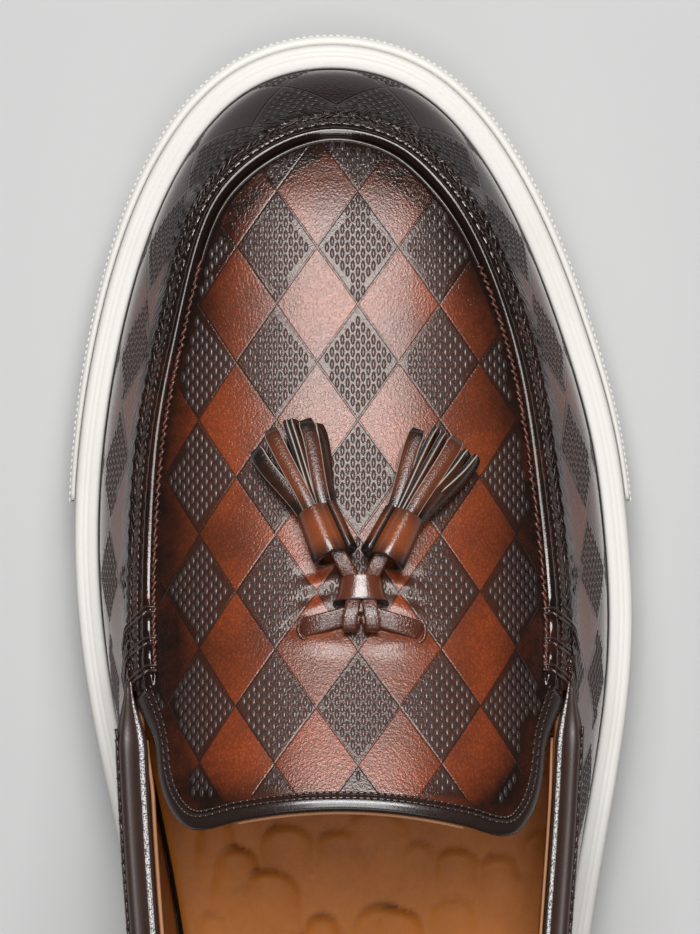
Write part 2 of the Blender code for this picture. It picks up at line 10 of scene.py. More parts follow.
import bmesh
import bpy
import numpy as np
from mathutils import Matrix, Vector


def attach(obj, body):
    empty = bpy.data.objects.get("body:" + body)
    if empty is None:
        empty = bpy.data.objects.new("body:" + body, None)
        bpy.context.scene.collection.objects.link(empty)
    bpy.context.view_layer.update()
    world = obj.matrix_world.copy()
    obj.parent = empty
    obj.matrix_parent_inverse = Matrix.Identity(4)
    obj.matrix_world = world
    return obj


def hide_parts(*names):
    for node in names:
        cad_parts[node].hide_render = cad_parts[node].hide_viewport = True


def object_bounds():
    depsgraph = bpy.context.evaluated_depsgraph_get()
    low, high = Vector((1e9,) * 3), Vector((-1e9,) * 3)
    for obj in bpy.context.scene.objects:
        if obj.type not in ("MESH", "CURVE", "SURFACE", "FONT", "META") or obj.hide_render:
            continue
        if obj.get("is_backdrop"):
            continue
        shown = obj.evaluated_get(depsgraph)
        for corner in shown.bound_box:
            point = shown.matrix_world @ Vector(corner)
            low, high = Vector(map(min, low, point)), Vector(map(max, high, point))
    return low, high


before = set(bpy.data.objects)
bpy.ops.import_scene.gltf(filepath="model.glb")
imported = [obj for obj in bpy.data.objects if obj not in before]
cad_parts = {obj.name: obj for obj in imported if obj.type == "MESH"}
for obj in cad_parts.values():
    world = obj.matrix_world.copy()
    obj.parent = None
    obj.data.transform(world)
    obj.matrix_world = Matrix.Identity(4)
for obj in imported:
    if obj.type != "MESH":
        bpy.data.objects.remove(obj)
CAD_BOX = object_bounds()
MM = 0.001
print("solids in the frame:", sorted(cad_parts))

# %% [markdown]
# ## The last
# A shoe is built over a last, and all its pieces follow that one form. Here the last is a short table:
# each row is a section, with the feather line where leather meets sole, the top of the wall, and how full
# the wall is. One closed spline runs through the rows, toe to heel on the inner side and back on the outer,
# so any piece at any fineness can ask for a point instead of copying vertices from the solids.

# %% Sections of the last
SECTION_COLUMNS = ("name", "feather_x", "feather_y", "top_x", "top_y", "top_z", "bulge", "shoulder")
SECTIONS = (
    ("toe", -3.5, 140.4, -2.6, 131.3, None, 0.8, 3.5),
    ("inner toe turn", -20.2, 135.7, -14.7, 128.3, None, 0.8, 3.4),
    ("inner toe corner", -31.1, 124.0, -24.4, 121.4, None, 0.8, 3.2),
    ("inner toe side", -39.0, 107.5, -31.7, 109.4, None, 0.6, 2.8),
    ("big toe", -44.2, 89.0, -36.7, 89.7, None, 0.5, 2.6),
    ("inner fore ball", -47.5, 69.0, -40.4, 70.5, None, 0.4, 2.4),
    ("inner ball", -48.6, 50.0, -41.9, 50.0, None, 0.4, 2.2),
    ("inner aft ball", -47.6, 32.0, -42.0, 34.0, None, 0.4, 1.8),
    ("inner throat", -45.4, 17.0, -41.5, 21.5, None, 0.6, 1.2),
    ("inner quarter", -40.8, -5.0, -40.4, -2.0, 62.5, 1.0, 0.8),
    ("inner waist", -36.2, -30.0, -38.6, -28.0, 62.0, 2.0, 1.2),
    ("inner heel breast", -33.4, -62.0, -35.2, -62.0, 63.5, 2.5, 2.0),
    ("inner heel", -33.4, -98.0, -28.6, -97.0, 68.5, 3.0, 3.0),
    ("inner heel corner", -24.0, -130.0, -16.8, -123.5, 76.0, 3.2, 3.5),
    ("heel", 1.5, -142.8, 1.5, -133.5, 79.5, 3.2, 3.5),
    ("outer heel corner", 27.0, -130.0, 19.8, -123.5, 76.0, 3.2, 3.5),
    ("outer heel", 36.4, -98.0, 31.6, -97.0, 68.5, 3.0, 3.0),
    ("outer heel breast", 38.4, -62.0, 36.4, -62.0, 63.0, 2.0, 2.0),
    ("outer waist", 41.6, -28.0, 38.4, -28.0, 61.5, 1.4, 1.2),
    ("outer quarter", 45.4, -5.0, 40.2, -2.0, 62.0, 0.8, 0.8),
    ("outer throat", 48.9, 17.0, 41.4, 21.5, None, 0.6, 1.2),
    ("outer aft ball", 50.0, 34.0, 42.0, 34.0, None, 0.4, 1.8),
    ("outer ball", 49.2, 50.0, 40.9, 50.0, None, 0.4, 2.2),
    ("outer fore ball", 46.6, 69.0, 38.4, 70.5, None, 0.4, 2.4),
    ("little toe", 40.9, 89.0, 34.4, 89.7, None, 0.5, 2.6),
    ("outer toe side", 33.6, 108.0, 26.8, 109.4, None, 0.6, 2.8),
    ("outer toe corner", 24.7, 124.0, 18.3, 121.4, None, 0.8, 3.2),
    ("outer toe turn", 13.2, 135.7, 9.6, 128.3, None, 0.8, 3.4),
)
ROWS = len(SECTIONS)
THROAT_ROW = 8
HEEL_ROW = 14
RIM_HEIGHT = ((-148, 33.5), (-110, 31.5), (-40, 28.5), (20, 26.5), (60, 26.0), (100, 26.8), (148, 30.0))
CUP_FLOOR = ((-148, 17.5), (-100, 17.0), (-40, 14.0), (20, 11.0), (70, 10.5), (110, 12.0), (148, 17.0))
VAMP_CENTRE = ((-8, 92.0), (0, 88.5), (10, 84.3), (30, 76.0), (50, 68.5), (70, 62.3), (90, 57.3), (105, 54.0),
               (118, 50.2), (127, 46.5), (132, 43.4))
CROWN_FALL = ((-8, 15.5), (22, 14.0), (50, 12.0), (70, 10.5), (90, 10.0), (132, 10.0))
VAMP_HALF = 37.6
VAMP_LEAN = 0.026
LEAN_FROM = 22.0
CROWN_POWER = 2.4
WALL_LOW_HANDLE = 0.45
WALL_TOP_HANDLE = 0.30
STEP = 0.5
ROW_STEP = 0.02
print("sections of the last:", ROWS)

# %% [markdown]
# ## Curves through tables
# Two small tools turn the tables into smooth forms. A height table becomes a Hermite curve, and a closed
# table becomes a periodic cubic spline. Blender's own curves could do this, but plain functions let the
# leather, the stitches and the stamped seeds all read exactly the same surface.

# %% Smooth curves
def smooth_curve(table):
    """A smooth function through rows of (place, value)."""
    at = np.array([row[0] for row in table], float)
    value = np.array([row[1] for row in table], float)
    slope = np.gradient(value, at)

    def height(y):
        y = np.clip(np.asarray(y, float), at[0], at[-1])
        i = np.clip(np.searchsorted(at, y) - 1, 0, len(at) - 2)
        span = at[i + 1] - at[i]
        b = (y - at[i]) / span
        a = 1.0 - b
        ends = value[i] * a * a * (1.0 + 2.0 * b) + value[i + 1] * b * b * (1.0 + 2.0 * a)
        return ends + span * a * b * (slope[i] * a - slope[i + 1] * b)
    return height


def closed_spline(table):
    """A closed cubic spline through the rows; a position counts rows."""
    points = np.array(table, float)
    count = len(points)
    ahead = np.roll(points, -1, axis=0)
    span = np.linalg.norm((ahead - points)[:, :2], axis=1)
    behind = np.roll(span, 1)
    rise = (ahead - points) / span[:, None]
    system = np.zeros((count, count))
    for i in range(count):
        system[i, i - 1] += behind[i]
        system[i, i] += 2.0 * (behind[i] + span[i])
        system[i, (i + 1) % count] += span[i]
    bend = np.linalg.solve(system, 6.0 * (rise - np.roll(rise, 1, axis=0)))

    def at(position):
        position = np.atleast_1d(position) % count
        i = np.floor(position).astype(int)
        j = (i + 1) % count
        h = span[i][:, None]
        b = (position - i)[:, None]
        a = 1.0 - b
        bow = (a ** 3 - a) * bend[i] + (b ** 3 - b) * bend[j]
        return a * points[i] + b * points[j] + bow * h * h / 6.0
    return at


def unit(vectors):
    return vectors / np.linalg.norm(vectors, axis=-1, keepdims=True)


def fade(value, start, end):
    """0 at start, 1 at end, soft at both."""
    t = np.clip((np.asarray(value, float) - start) / (end - start), 0.0, 1.0)
    return t * t * (3.0 - 2.0 * t)


def run_length(points):
    """Way along a row of points, 0 at the first."""
    steps = np.linalg.norm(np.diff(points, axis=0), axis=1)
    return np.concatenate([[0.0], np.cumsum(steps)])


print("curve tools ready")

# %% [markdown]
# ## Asking the last for a point
# The top of the shoe is the vamp: a crowned surface with a height along its middle and a fall to both sides.
# The wall is a bent line from the sole's feather line up to the vamp. Subdivided cages could hold these forms
# too, but functions give a point, a direction off the leather or an even spacing wherever a piece needs one.

# %% Surface of the last
rim_z = smooth_curve(RIM_HEIGHT)
floor_z = smooth_curve(CUP_FLOOR)
vamp_centre = smooth_curve(VAMP_CENTRE)
crown_fall = smooth_curve(CROWN_FALL)


def vamp_z(x, y):
    """Top surface of the apron."""
    middle = -VAMP_LEAN * np.clip(y - LEAN_FROM, 0.0, None)
    across = np.abs(x - middle) / VAMP_HALF
    return vamp_centre(y) - crown_fall(y) * across ** CROWN_POWER


def on_vamp(x, y, lift=0.0):
    """Points a given height off the apron, and the directions away from it."""
    x = np.atleast_1d(np.asarray(x, float))
    y = np.atleast_1d(np.asarray(y, float))
    slope_x = (vamp_z(x + STEP, y) - vamp_z(x - STEP, y)) / (2.0 * STEP)
    slope_y = (vamp_z(x, y + STEP) - vamp_z(x, y - STEP)) / (2.0 * STEP)
    away = unit(np.column_stack([-slope_x, -slope_y, np.ones(len(x))]))
    return np.column_stack([x, y, vamp_z(x, y)]) + np.reshape(lift, (-1, 1)) * away, away


def last_rows():
    rows = []
    for entry in SECTIONS:
        row = dict(zip(SECTION_COLUMNS, entry))
        top_z = row["top_z"]
        if top_z is None:
            top_z = float(vamp_z(row["top_x"], row["top_y"]))
        rows.append((row["feather_x"], row["feather_y"], row["top_x"], row["top_y"], top_z, row["bulge"],
                     row["shoulder"]))
    return rows


last = closed_spline(last_rows())


def outward(position, column):
    """Plan normal of the feather line (column 0) or of the wall top (column 2)."""
    along = (last(position + ROW_STEP) - last(position - ROW_STEP))[:, column:column + 2]
    along = unit(along)
    return np.column_stack([along[:, 1], -along[:, 0]])


def wall_point(position, share):
    """A point of the side wall, from the feather line (share 0) to its top (share 1)."""
    row = last(position)
    out = np.column_stack([outward(position, 0), np.zeros(len(row))])
    foot = np.column_stack([row[:, 0:2], rim_z(row[:, 1])])
    top = row[:, 2:5]
    rise = np.column_stack([np.zeros((len(row), 2)), top[:, 2] - foot[:, 2]])
    low = foot + WALL_LOW_HANDLE * rise + out * row[:, 5:6]
    high = top - WALL_TOP_HANDLE * rise + out * row[:, 6:7]
    t = np.broadcast_to(share, (len(row),))[:, None]
    s = 1.0 - t
    return s ** 3 * foot + 3 * s * s * t * low + 3 * s * t * t * high + t ** 3 * top


def seam_point(position, inward, raised):
    """A point at a distance inside the wall top, raised over the apron."""
    plan = last(position)[:, 2:4] - outward(position, 2) * np.reshape(inward, (-1, 1))
    return np.column_stack([plan, vamp_z(plan[:, 0], plan[:, 1]) + raised])


FINE_STATIONS = 5601
FINE = np.linspace(0.0, ROWS, FINE_STATIONS)
FEATHER_RUN = run_length(last(FINE)[:, 0:2])


def spaced(start, end, count):
    """Positions from one row to another, evenly along the feather line."""
    low, high = np.interp((start, end), FINE, FEATHER_RUN)
    return np.interp(np.linspace(low, high, count + 1), FEATHER_RUN, FINE)


print("feather line %.0f mm long" % FEATHER_RUN[-1])

# %% [markdown]
# ## From numbers to meshes
# Every piece becomes a mesh object in millimetres, shaded smooth. The first helper builds it and turns the
# faces of closed forms outwards, the second stores a number on each vertex for a finish to read, and the
# third hands the piece to the frame: it rides on the shoe's one body and may stand for a solid.

# %% Mesh helpers
def new_object(name, points, faces, finishes, closed=True, indices=None):
    """A smooth-shaded object from points in millimetres."""
    mesh = bpy.data.meshes.new(name)
    mesh.from_pydata((np.asarray(points, float) * MM).tolist(), [], faces)
    mesh.polygons.foreach_set("use_smooth", [True] * len(mesh.polygons))
    for entry in finishes:
        mesh.materials.append(entry)
    if indices is not None:
        mesh.polygons.foreach_set("material_index", indices)
    if closed:
        work = bmesh.new()
        work.from_mesh(mesh)
        bmesh.ops.recalc_face_normals(work, faces=work.faces)
        work.to_mesh(mesh)
        work.free()
    made = bpy.data.objects.new(name, mesh)
    bpy.context.scene.collection.objects.link(made)
    return made


def store_numbers(mesh, name, values):
    """One number a vertex, for a finish to read."""
    store = mesh.attributes.new(name, "FLOAT", "POINT")
    store.data.foreach_set("value", np.ascontiguousarray(values, np.float32))


def settle(piece, slot, *nodes):
    """The piece rides on the shoe and stands for solids; the slot is not used."""
    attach(piece, "root")
    if nodes:
        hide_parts(*nodes)
    print(piece.name, len(piece.data.polygons), "faces, stands for", list(nodes))


print("mesh helpers ready")

# %% [markdown]
# ## Skins and sweeps
# Leather is a skin, so most pieces are rows of points joined by quads. Straps, rolls and threads are a
# section carried along a path. A curve object with a bevel could do the sweep, but only with a fixed
# section; here the section may grow, shrink or turn on its way.

# %% Skins and sweeps
def quads(rows, wrap):
    """Faces between rows of vertex numbers."""
    faces = []
    for low, high in zip(rows, rows[1:]):
        size = len(low)
        for i in range(size if wrap else size - 1):
            k = (i + 1) % size
            faces.append([low[i], low[k], high[k], high[i]])
    return faces


def ladder(ring):
    """Faces across a ring whose two halves run from the toe to the heel."""
    count = len(ring)
    faces = []
    for i in range(count // 2):
        corners = [ring[i], ring[i + 1], ring[count - i - 1], ring[(count - i) % count]]
        faces.append(list(dict.fromkeys(corners)))
    return faces


def patch(rows):
    """Faces between rows from the toe backwards; corners that fall together are dropped."""
    faces = []
    for fore, aft in zip(rows, rows[1:]):
        for k in range(len(fore) - 1):
            faces.append(list(dict.fromkeys([aft[k], aft[k + 1], fore[k + 1], fore[k]])))
    return faces


def flow(points, count):
    """An evenly parted Catmull-Rom path through a few points."""
    points = np.array(points, float)
    ends = np.vstack([2 * points[0] - points[1], points, 2 * points[-1] - points[-2]])
    t = np.linspace(0.0, len(points) - 1.0, count)
    i = np.minimum(t.astype(int), len(points) - 2)
    f = (t - i)[:, None]
    p, q, r, s = ends[i], ends[i + 1], ends[i + 2], ends[i + 3]
    slope = (r - p) * f
    bend = (2 * p - 5 * q + 4 * r - s) * f ** 2
    twist = (3 * q - p - 3 * r + s) * f ** 3
    return 0.5 * (2 * q + slope + bend + twist)


def sweep(path, side, up, section):
    """Skin and end caps of a closed section carried along a path; the section may change on the way."""
    section = np.asarray(section, float)
    section = np.broadcast_to(section, (len(path),) + section.shape[-2:])
    points = path[:, None] + side[:, None] * section[..., 0:1] + up[:, None] * section[..., 1:2]
    size = section.shape[1]
    rows = np.arange(len(path) * size).reshape(len(path), size).tolist()
    return points.reshape(-1, 3), quads(rows, True) + [rows[0][::-1], rows[-1]]


def joined(parts):
    """Several (points, faces) as one."""
    points = np.vstack([part[0] for part in parts])
    faces = []
    start = 0
    for part_points, part_faces in parts:
        faces += [[start + v for v in face] for face in part_faces]
        start += len(part_points)
    return points, faces


def oval(half_width, half_height, count=12, centre=(0.0, 0.0), square=1.0):
    """A closed section; square below 1 fills the corners."""
    turn = np.linspace(0.0, 2.0 * math.pi, count, endpoint=False)
    x = np.sign(np.cos(turn)) * np.abs(np.cos(turn)) ** square
    y = np.sign(np.sin(turn)) * np.abs(np.sin(turn)) ** square
    return np.column_stack([centre[0] + half_width * x, centre[1] + half_height * y])


def bar(path, ups, section):
    """A sweep whose flat side faces the given directions."""
    along = unit(np.gradient(path, axis=0))
    side = unit(np.cross(along, ups))
    return sweep(path, side, np.cross(side, along), section)


print("skins and sweeps ready")

# %% [markdown]
# ## Shader tools
# A finish is a small node tree. Adding each node, setting it and linking it takes many lines, so a few
# helpers add a Math node, a colour mix, a soft threshold or a noise in one call, and take either a number or
# another node's output for each input.

# %% Node helpers
def add_node(tree, kind, **settings):
    node = tree.nodes.new(kind)
    for name, value in settings.items():
        setattr(node, name, value)
    return node


def feed(tree, value, socket):
    """Link an output to a socket, or set the socket to a number or colour."""
    if isinstance(value, bpy.types.NodeSocket):
        tree.links.new(value, socket)
    elif value is not None:
        socket.default_value = value


def maths(tree, operation, first, second=None, clamp=False):
    node = add_node(tree, "ShaderNodeMath", operation=operation, use_clamp=clamp)
    feed(tree, first, node.inputs[0])
    feed(tree, second, node.inputs[1])
    return node.outputs[0]


def mixed(tree, share, first, second):
    node = add_node(tree, "ShaderNodeMix", data_type="RGBA")
    feed(tree, share, node.inputs[0])
    feed(tree, first, node.inputs[6])
    feed(tree, second, node.inputs[7])
    return node.outputs[2]


def ranged(tree, value, low, high):
    """0 below low, 1 above high, soft between."""
    node = add_node(tree, "ShaderNodeMapRange", interpolation_type="SMOOTHSTEP")
    feed(tree, value, node.inputs["Value"])
    node.inputs["From Min"].default_value = low
    node.inputs["From Max"].default_value = high
    return node.outputs["Result"]


def noise(tree, place, scale, detail=2.0):
    """Outputs of a noise node: a value and a colour."""
    node = add_node(tree, "ShaderNodeTexNoise")
    feed(tree, place, node.inputs["Vector"])
    feed(tree, scale, node.inputs["Scale"])
    node.inputs["Detail"].default_value = detail
    return node.outputs


def cloud(tree, place, size, detail):
    """Noise with features of about a size in millimetres."""
    return noise(tree, place, 1.0 / (size * MM), detail)[0]


print("node helpers ready")

# %% [markdown]
# ## Shared effects
# Every leather here shares two effects, so each is a node group built once. The grain group warps a Voronoi
# pattern into pebbles, with fine pores and slanting wrinkle lines on top. The burnish group darkens a colour
# by an amount and breaks the border with cloudy noise, as a cloth full of wax does. Groups put out values
# only; the Principled shader and every constant stay in each material.

# %% Grain and burnish
WARP_REACH = 0.9
PEBBLE_EDGE = 0.35
PORES_PER_PEBBLE = 2.6
WRINKLES_PER_PEBBLE = 1.3
WRINKLE_TURN = 38.0
WRINKLE_STRETCH = (1.2, 0.75, 1.0)
# How much each of the three adds to the height of the grain
PEBBLE_SHARE = 0.25
PORE_SHARE = 0.6
WRINKLE_SHARE = 0.25
# Size in millimetres and strength of the clouds in the wax
BROAD_CLOUD = (9.0, 0.42)
FINE_CLOUD = (1.6, 0.22)


def new_group(name, inputs, outputs):
    tree = bpy.data.node_groups.new(name, "ShaderNodeTree")
    for label, kind in inputs:
        tree.interface.new_socket(label, in_out="INPUT", socket_type=kind)
    for label, kind in outputs:
        tree.interface.new_socket(label, in_out="OUTPUT", socket_type=kind)
    return tree, tree.nodes.new("NodeGroupInput").outputs, tree.nodes.new("NodeGroupOutput").inputs


def placed(tree, group, **values):
    """A group in a material, with its inputs fed; gives its first output."""
    node = add_node(tree, "ShaderNodeGroup", node_tree=group)
    for label, value in values.items():
        feed(tree, value, node.inputs[label])
    return node.outputs[0]


def make_grain_group():
    tree, given, result = new_group(
        "Leather grain",
        (("Place", "NodeSocketVector"), ("Size", "NodeSocketFloat")),
        (("Height", "NodeSocketFloat"),),
    )
    scale = maths(tree, "DIVIDE", 1.0 / MM, given["Size"])
    shift = add_node(tree, "ShaderNodeVectorMath", operation="SCALE")
    feed(tree, noise(tree, given["Place"], scale)[1], shift.inputs[0])
    feed(tree, maths(tree, "DIVIDE", WARP_REACH, scale), shift.inputs["Scale"])
    moved = add_node(tree, "ShaderNodeVectorMath", operation="ADD")
    feed(tree, given["Place"], moved.inputs[0])
    feed(tree, shift.outputs[0], moved.inputs[1])
    pebble = add_node(tree, "ShaderNodeTexVoronoi", feature="DISTANCE_TO_EDGE")
    feed(tree, moved.outputs[0], pebble.inputs["Vector"])
    feed(tree, scale, pebble.inputs["Scale"])
    round_top = ranged(tree, pebble.outputs["Distance"], 0.0, PEBBLE_EDGE)
    pore_scale = maths(tree, "MULTIPLY", scale, PORES_PER_PEBBLE)
    pores = noise(tree, given["Place"], pore_scale, 3.0)[0]
    turned = add_node(tree, "ShaderNodeMapping")
    feed(tree, moved.outputs[0], turned.inputs["Vector"])
    turned.inputs["Rotation"].default_value = (0.0, 0.0, math.radians(WRINKLE_TURN))
    turned.inputs["Scale"].default_value = WRINKLE_STRETCH
    wrinkle_scale = maths(tree, "MULTIPLY", scale, WRINKLES_PER_PEBBLE)
    lines = ranged(tree, noise(tree, turned.outputs[0], wrinkle_scale, 1.0)[0], 0.34, 0.62)
    pebbled = maths(tree, "MULTIPLY", round_top, PEBBLE_SHARE)
    pored = maths(tree, "MULTIPLY", pores, PORE_SHARE)
    wrinkled = maths(tree, "MULTIPLY", lines, WRINKLE_SHARE)
    feed(tree, maths(tree, "ADD", pebbled, maths(tree, "ADD", pored, wrinkled)), result["Height"])
    return tree


def make_burnish_group():
    tree, given, result = new_group(
        "Burnish",
        (("Colour", "NodeSocketColor"), ("Dark", "NodeSocketColor"),
         ("Amount", "NodeSocketFloat"), ("Place", "NodeSocketVector")),
        (("Colour", "NodeSocketColor"),),
    )
    broad = maths(tree, "SUBTRACT", cloud(tree, given["Place"], BROAD_CLOUD[0], 3.0), 0.5)
    fine = maths(tree, "SUBTRACT", cloud(tree, given["Place"], FINE_CLOUD[0], 2.0), 0.5)
    broad = maths(tree, "MULTIPLY", broad, BROAD_CLOUD[1])
    fine = maths(tree, "MULTIPLY", fine, FINE_CLOUD[1])
    share = maths(tree, "ADD", given["Amount"], maths(tree, "ADD", broad, fine), clamp=True)
    feed(tree, mixed(tree, share, given["Colour"], given["Dark"]), result["Colour"])
    return tree


GRAIN = make_grain_group()
BURNISH = make_burnish_group()
print("node groups:", GRAIN.name, "and", BURNISH.name)

# %% [markdown]
# ## A leather of one colour
# Thread, thong, lining, binding and footbed are leathers or waxed cords of one colour, differing only in
# hue, grain and gloss. One function makes them all: burnish for the colour, grain for the relief, and the
# low places of the grain a little rougher than its tops, as polish only reaches the tops.

# %% Plain leather
COAT_ROUGHNESS = 0.12
GRAIN_MIDDLE = 0.6
GRAIN_GLOSS = 0.18


def finish(name, **constants):
    """A material, its tree, its Principled shader and its place on the piece."""
    material = bpy.data.materials.new(name)
    material.use_nodes = True
    tree = material.node_tree
    shader = tree.nodes["Principled BSDF"]
    for label, value in constants.items():
        shader.inputs[label.replace("_", " ")].default_value = value
    place = add_node(tree, "ShaderNodeTexCoord").outputs["Object"]
    return material, tree, shader, place


def bump(tree, shader, height, depth):
    """Relief of a depth in millimetres."""
    node = add_node(tree, "ShaderNodeBump")
    node.inputs["Strength"].default_value = 1.0
    node.inputs["Distance"].default_value = depth * MM
    feed(tree, height, node.inputs["Height"])
    feed(tree, node.outputs["Normal"], shader.inputs["Normal"])


def attribute(tree, name):
    return add_node(tree, "ShaderNodeAttribute", attribute_name=name).outputs["Fac"]


def plain_leather(name, colour, dark, amount, grain=0.8, depth=0.04, rough=0.5, coat=0.0, marks=None):
    """Leather of one colour, burnished by patches and where a point attribute marks it."""
    material, tree, shader, place = finish(name, Coat_Weight=coat, Coat_Roughness=COAT_ROUGHNESS)
    if marks:
        amount = maths(tree, "ADD", attribute(tree, marks), amount)
    feed(tree, placed(tree, BURNISH, Colour=colour, Dark=dark, Amount=amount, Place=place),
         shader.inputs["Base Color"])
    height = placed(tree, GRAIN, Place=place, Size=grain)
    spread = maths(tree, "MULTIPLY", maths(tree, "SUBTRACT", GRAIN_MIDDLE, height), GRAIN_GLOSS)
    feed(tree, maths(tree, "ADD", spread, rough), shader.inputs["Roughness"])
    bump(tree, shader, height, depth)
    return material


print("plain leather ready")

# %% [markdown]
# ## Points that grow small shapes
# Stitches, stamped seeds and rubber ribs repeat hundreds of times along a path or over a surface. Modelling
# each by hand is out of the question and an Array can't follow the last, so Geometry Nodes plant a small
# shape on every point. The points carry where they face, which way they run and how far they stretch, and
# the tree turns each shape to match before it is realized as plain mesh.

# %% Planting tree
def named(tree, name):
    node = add_node(tree, "GeometryNodeInputNamedAttribute", data_type="FLOAT_VECTOR")
    node.inputs["Name"].default_value = name
    return node.outputs["Attribute"]


def planting_tree(name, sizes, shape):
    """A tree that plants a shape on points; sizes are its named inputs."""
    tree = bpy.data.node_groups.new(name, "GeometryNodeTree")
    tree.interface.new_socket("Points", in_out="INPUT", socket_type="NodeSocketGeometry")
    for label in sizes:
        tree.interface.new_socket(label, in_out="INPUT", socket_type="NodeSocketFloat")
    tree.interface.new_socket("Finish", in_out="INPUT", socket_type="NodeSocketMaterial")
    tree.interface.new_socket("Geometry", in_out="OUTPUT", socket_type="NodeSocketGeometry")
    given = tree.nodes.new("NodeGroupInput").outputs
    facing = add_node(tree, "FunctionNodeAlignRotationToVector", axis="Z")
    feed(tree, named(tree, "facing"), facing.inputs["Vector"])
    running = add_node(tree, "FunctionNodeAlignRotationToVector", axis="Y", pivot_axis="Z")
    feed(tree, facing.outputs[0], running.inputs["Rotation"])
    feed(tree, named(tree, "along"), running.inputs["Vector"])
    planted = add_node(tree, "GeometryNodeInstanceOnPoints")
    feed(tree, given["Points"], planted.inputs["Points"])
    feed(tree, shape(tree, given), planted.inputs["Instance"])
    feed(tree, running.outputs[0], planted.inputs["Rotation"])
    feed(tree, named(tree, "stretch"), planted.inputs["Scale"])
    smooth = add_node(tree, "GeometryNodeSetShadeSmooth")
    feed(tree, planted.outputs[0], smooth.inputs["Geometry"])
    real = add_node(tree, "GeometryNodeRealizeInstances")
    feed(tree, smooth.outputs[0], real.inputs["Geometry"])
    coated = add_node(tree, "GeometryNodeSetMaterial")
    feed(tree, real.outputs[0], coated.inputs["Geometry"])
    feed(tree, given["Finish"], coated.inputs["Material"])
    feed(tree, coated.outputs[0], tree.nodes.new("NodeGroupOutput").inputs["Geometry"])
    return tree


print("planting tree ready")

# %% [markdown]
# ## Running a tree on points
# A mesh of loose points carries the attributes that the tree asks for. The tree sits on it as a modifier,
# and its inputs are set by their identifiers before it is evaluated for the first time. The result is kept
# as a plain mesh in a new object, and the points with their modifier are thrown away.

# %% Planting
def plant(name, tree, points, facing, along, settings, stretch=None, numbers=()):
    """Run a planting tree on points in millimetres and keep the plain mesh."""
    mesh = bpy.data.meshes.new(name + "_points")
    mesh.from_pydata((points * MM).tolist(), [], [])
    if stretch is None:
        stretch = np.ones((len(points), 3))
    for label, values in (("facing", facing), ("along", along), ("stretch", stretch)):
        store = mesh.attributes.new(label, "FLOAT_VECTOR", "POINT")
        store.data.foreach_set("vector", np.ascontiguousarray(values, np.float32).ravel())
    for label, values in numbers:
        store = mesh.attributes.new(label, "FLOAT", "POINT")
        store.data.foreach_set("value", np.ascontiguousarray(values, np.float32))
    holder = bpy.data.objects.new(name + "_holder", mesh)
    bpy.context.scene.collection.objects.link(holder)
    modifier = holder.modifiers.new("Plant", "NODES")
    modifier.node_group = tree
    for item in tree.interface.items_tree:
        if item.in_out == "INPUT" and item.name in settings:
            modifier[item.identifier] = settings[item.name]
    seen = holder.evaluated_get(bpy.context.evaluated_depsgraph_get())
    made = bpy.data.objects.new(name, bpy.data.meshes.new_from_object(seen))
    bpy.data.objects.remove(holder)
    bpy.context.scene.collection.objects.link(made)
    return made


print("planting ready")

# %% [markdown]
# ## Three small shapes
# A seed is a flattened ball in a thin oval disc, the trough that its stamp pressed; a number tells the two
# apart, so one finish can paint the trough near black as the groove's shade. A stitch is a thin round bar
# with a few rings, and a rib is a rounder bar without any. All sizes are inputs of the tree, so that one tree
# serves many rows.

# %% Seeds, stitches and ribs
SEED_SEGMENTS = 8
SEED_RINGS = 4
TROUGH_SIDES = 10
TROUGH_LIFT = 0.03
BASE_SIZES = ("Half width", "Half length", "Height")


def scaled(tree, shape, width, length, height):
    size = add_node(tree, "ShaderNodeCombineXYZ")
    for value, socket in zip((width, length, height), size.inputs):
        feed(tree, value, socket)
    node = add_node(tree, "GeometryNodeTransform")
    feed(tree, shape, node.inputs["Geometry"])
    feed(tree, size.outputs[0], node.inputs["Scale"])
    return node.outputs[0]


def marked(tree, shape, name, value):
    """The shape with a number stored on its points."""
    node = add_node(tree, "GeometryNodeStoreNamedAttribute", data_type="FLOAT", domain="POINT")
    feed(tree, shape, node.inputs["Geometry"])
    node.inputs["Name"].default_value = name
    node.inputs["Value"].default_value = value
    return node.outputs[0]


def seed_shape(tree, given):
    """An oval grain standing in the oval trough that its stamp left, which the finish paints dark as shade.
    """
    ball = add_node(tree, "GeometryNodeMeshUVSphere")
    ball.inputs["Segments"].default_value = SEED_SEGMENTS
    ball.inputs["Rings"].default_value = SEED_RINGS
    grain = scaled(tree, ball.outputs["Mesh"], *(given[label] for label in BASE_SIZES))
    disc = add_node(tree, "GeometryNodeMeshCircle", fill_type="NGON")
    disc.inputs["Vertices"].default_value = TROUGH_SIDES
    trough = scaled(tree, disc.outputs[0], given["Trough width"], given["Trough length"], 1.0)
    lifted = add_node(tree, "GeometryNodeTransform")
    feed(tree, trough, lifted.inputs["Geometry"])
    lifted.inputs["Translation"].default_value = (0.0, 0.0, TROUGH_LIFT * MM)
    both = add_node(tree, "GeometryNodeJoinGeometry")
    for part in (marked(tree, grain, "trough", 0.0), marked(tree, lifted.outputs[0], "trough", 1.0)):
        tree.links.new(part, both.inputs[0])
    return both.outputs[0]


def rod(tree, given, low_side_shade, segments):
    """A round bar that runs along Y."""
    node = add_node(tree, "GeometryNodeMeshCylinder")
    node.inputs["Vertices"].default_value = low_side_shade
    node.inputs["Side Segments"].default_value = segments
    node.inputs["Radius"].default_value = 1.0
    node.inputs["Depth"].default_value = 2.0
    laid = add_node(tree, "GeometryNodeTransform")
    feed(tree, node.outputs["Mesh"], laid.inputs["Geometry"])
    laid.inputs["Rotation"].default_value = (math.radians(90.0), 0.0, 0.0)
    return scaled(tree, laid.outputs[0], *(given[label] for label in BASE_SIZES))


def stitch_shape(tree, given):
    return rod(tree, given, low_side_shade=6, segments=3)


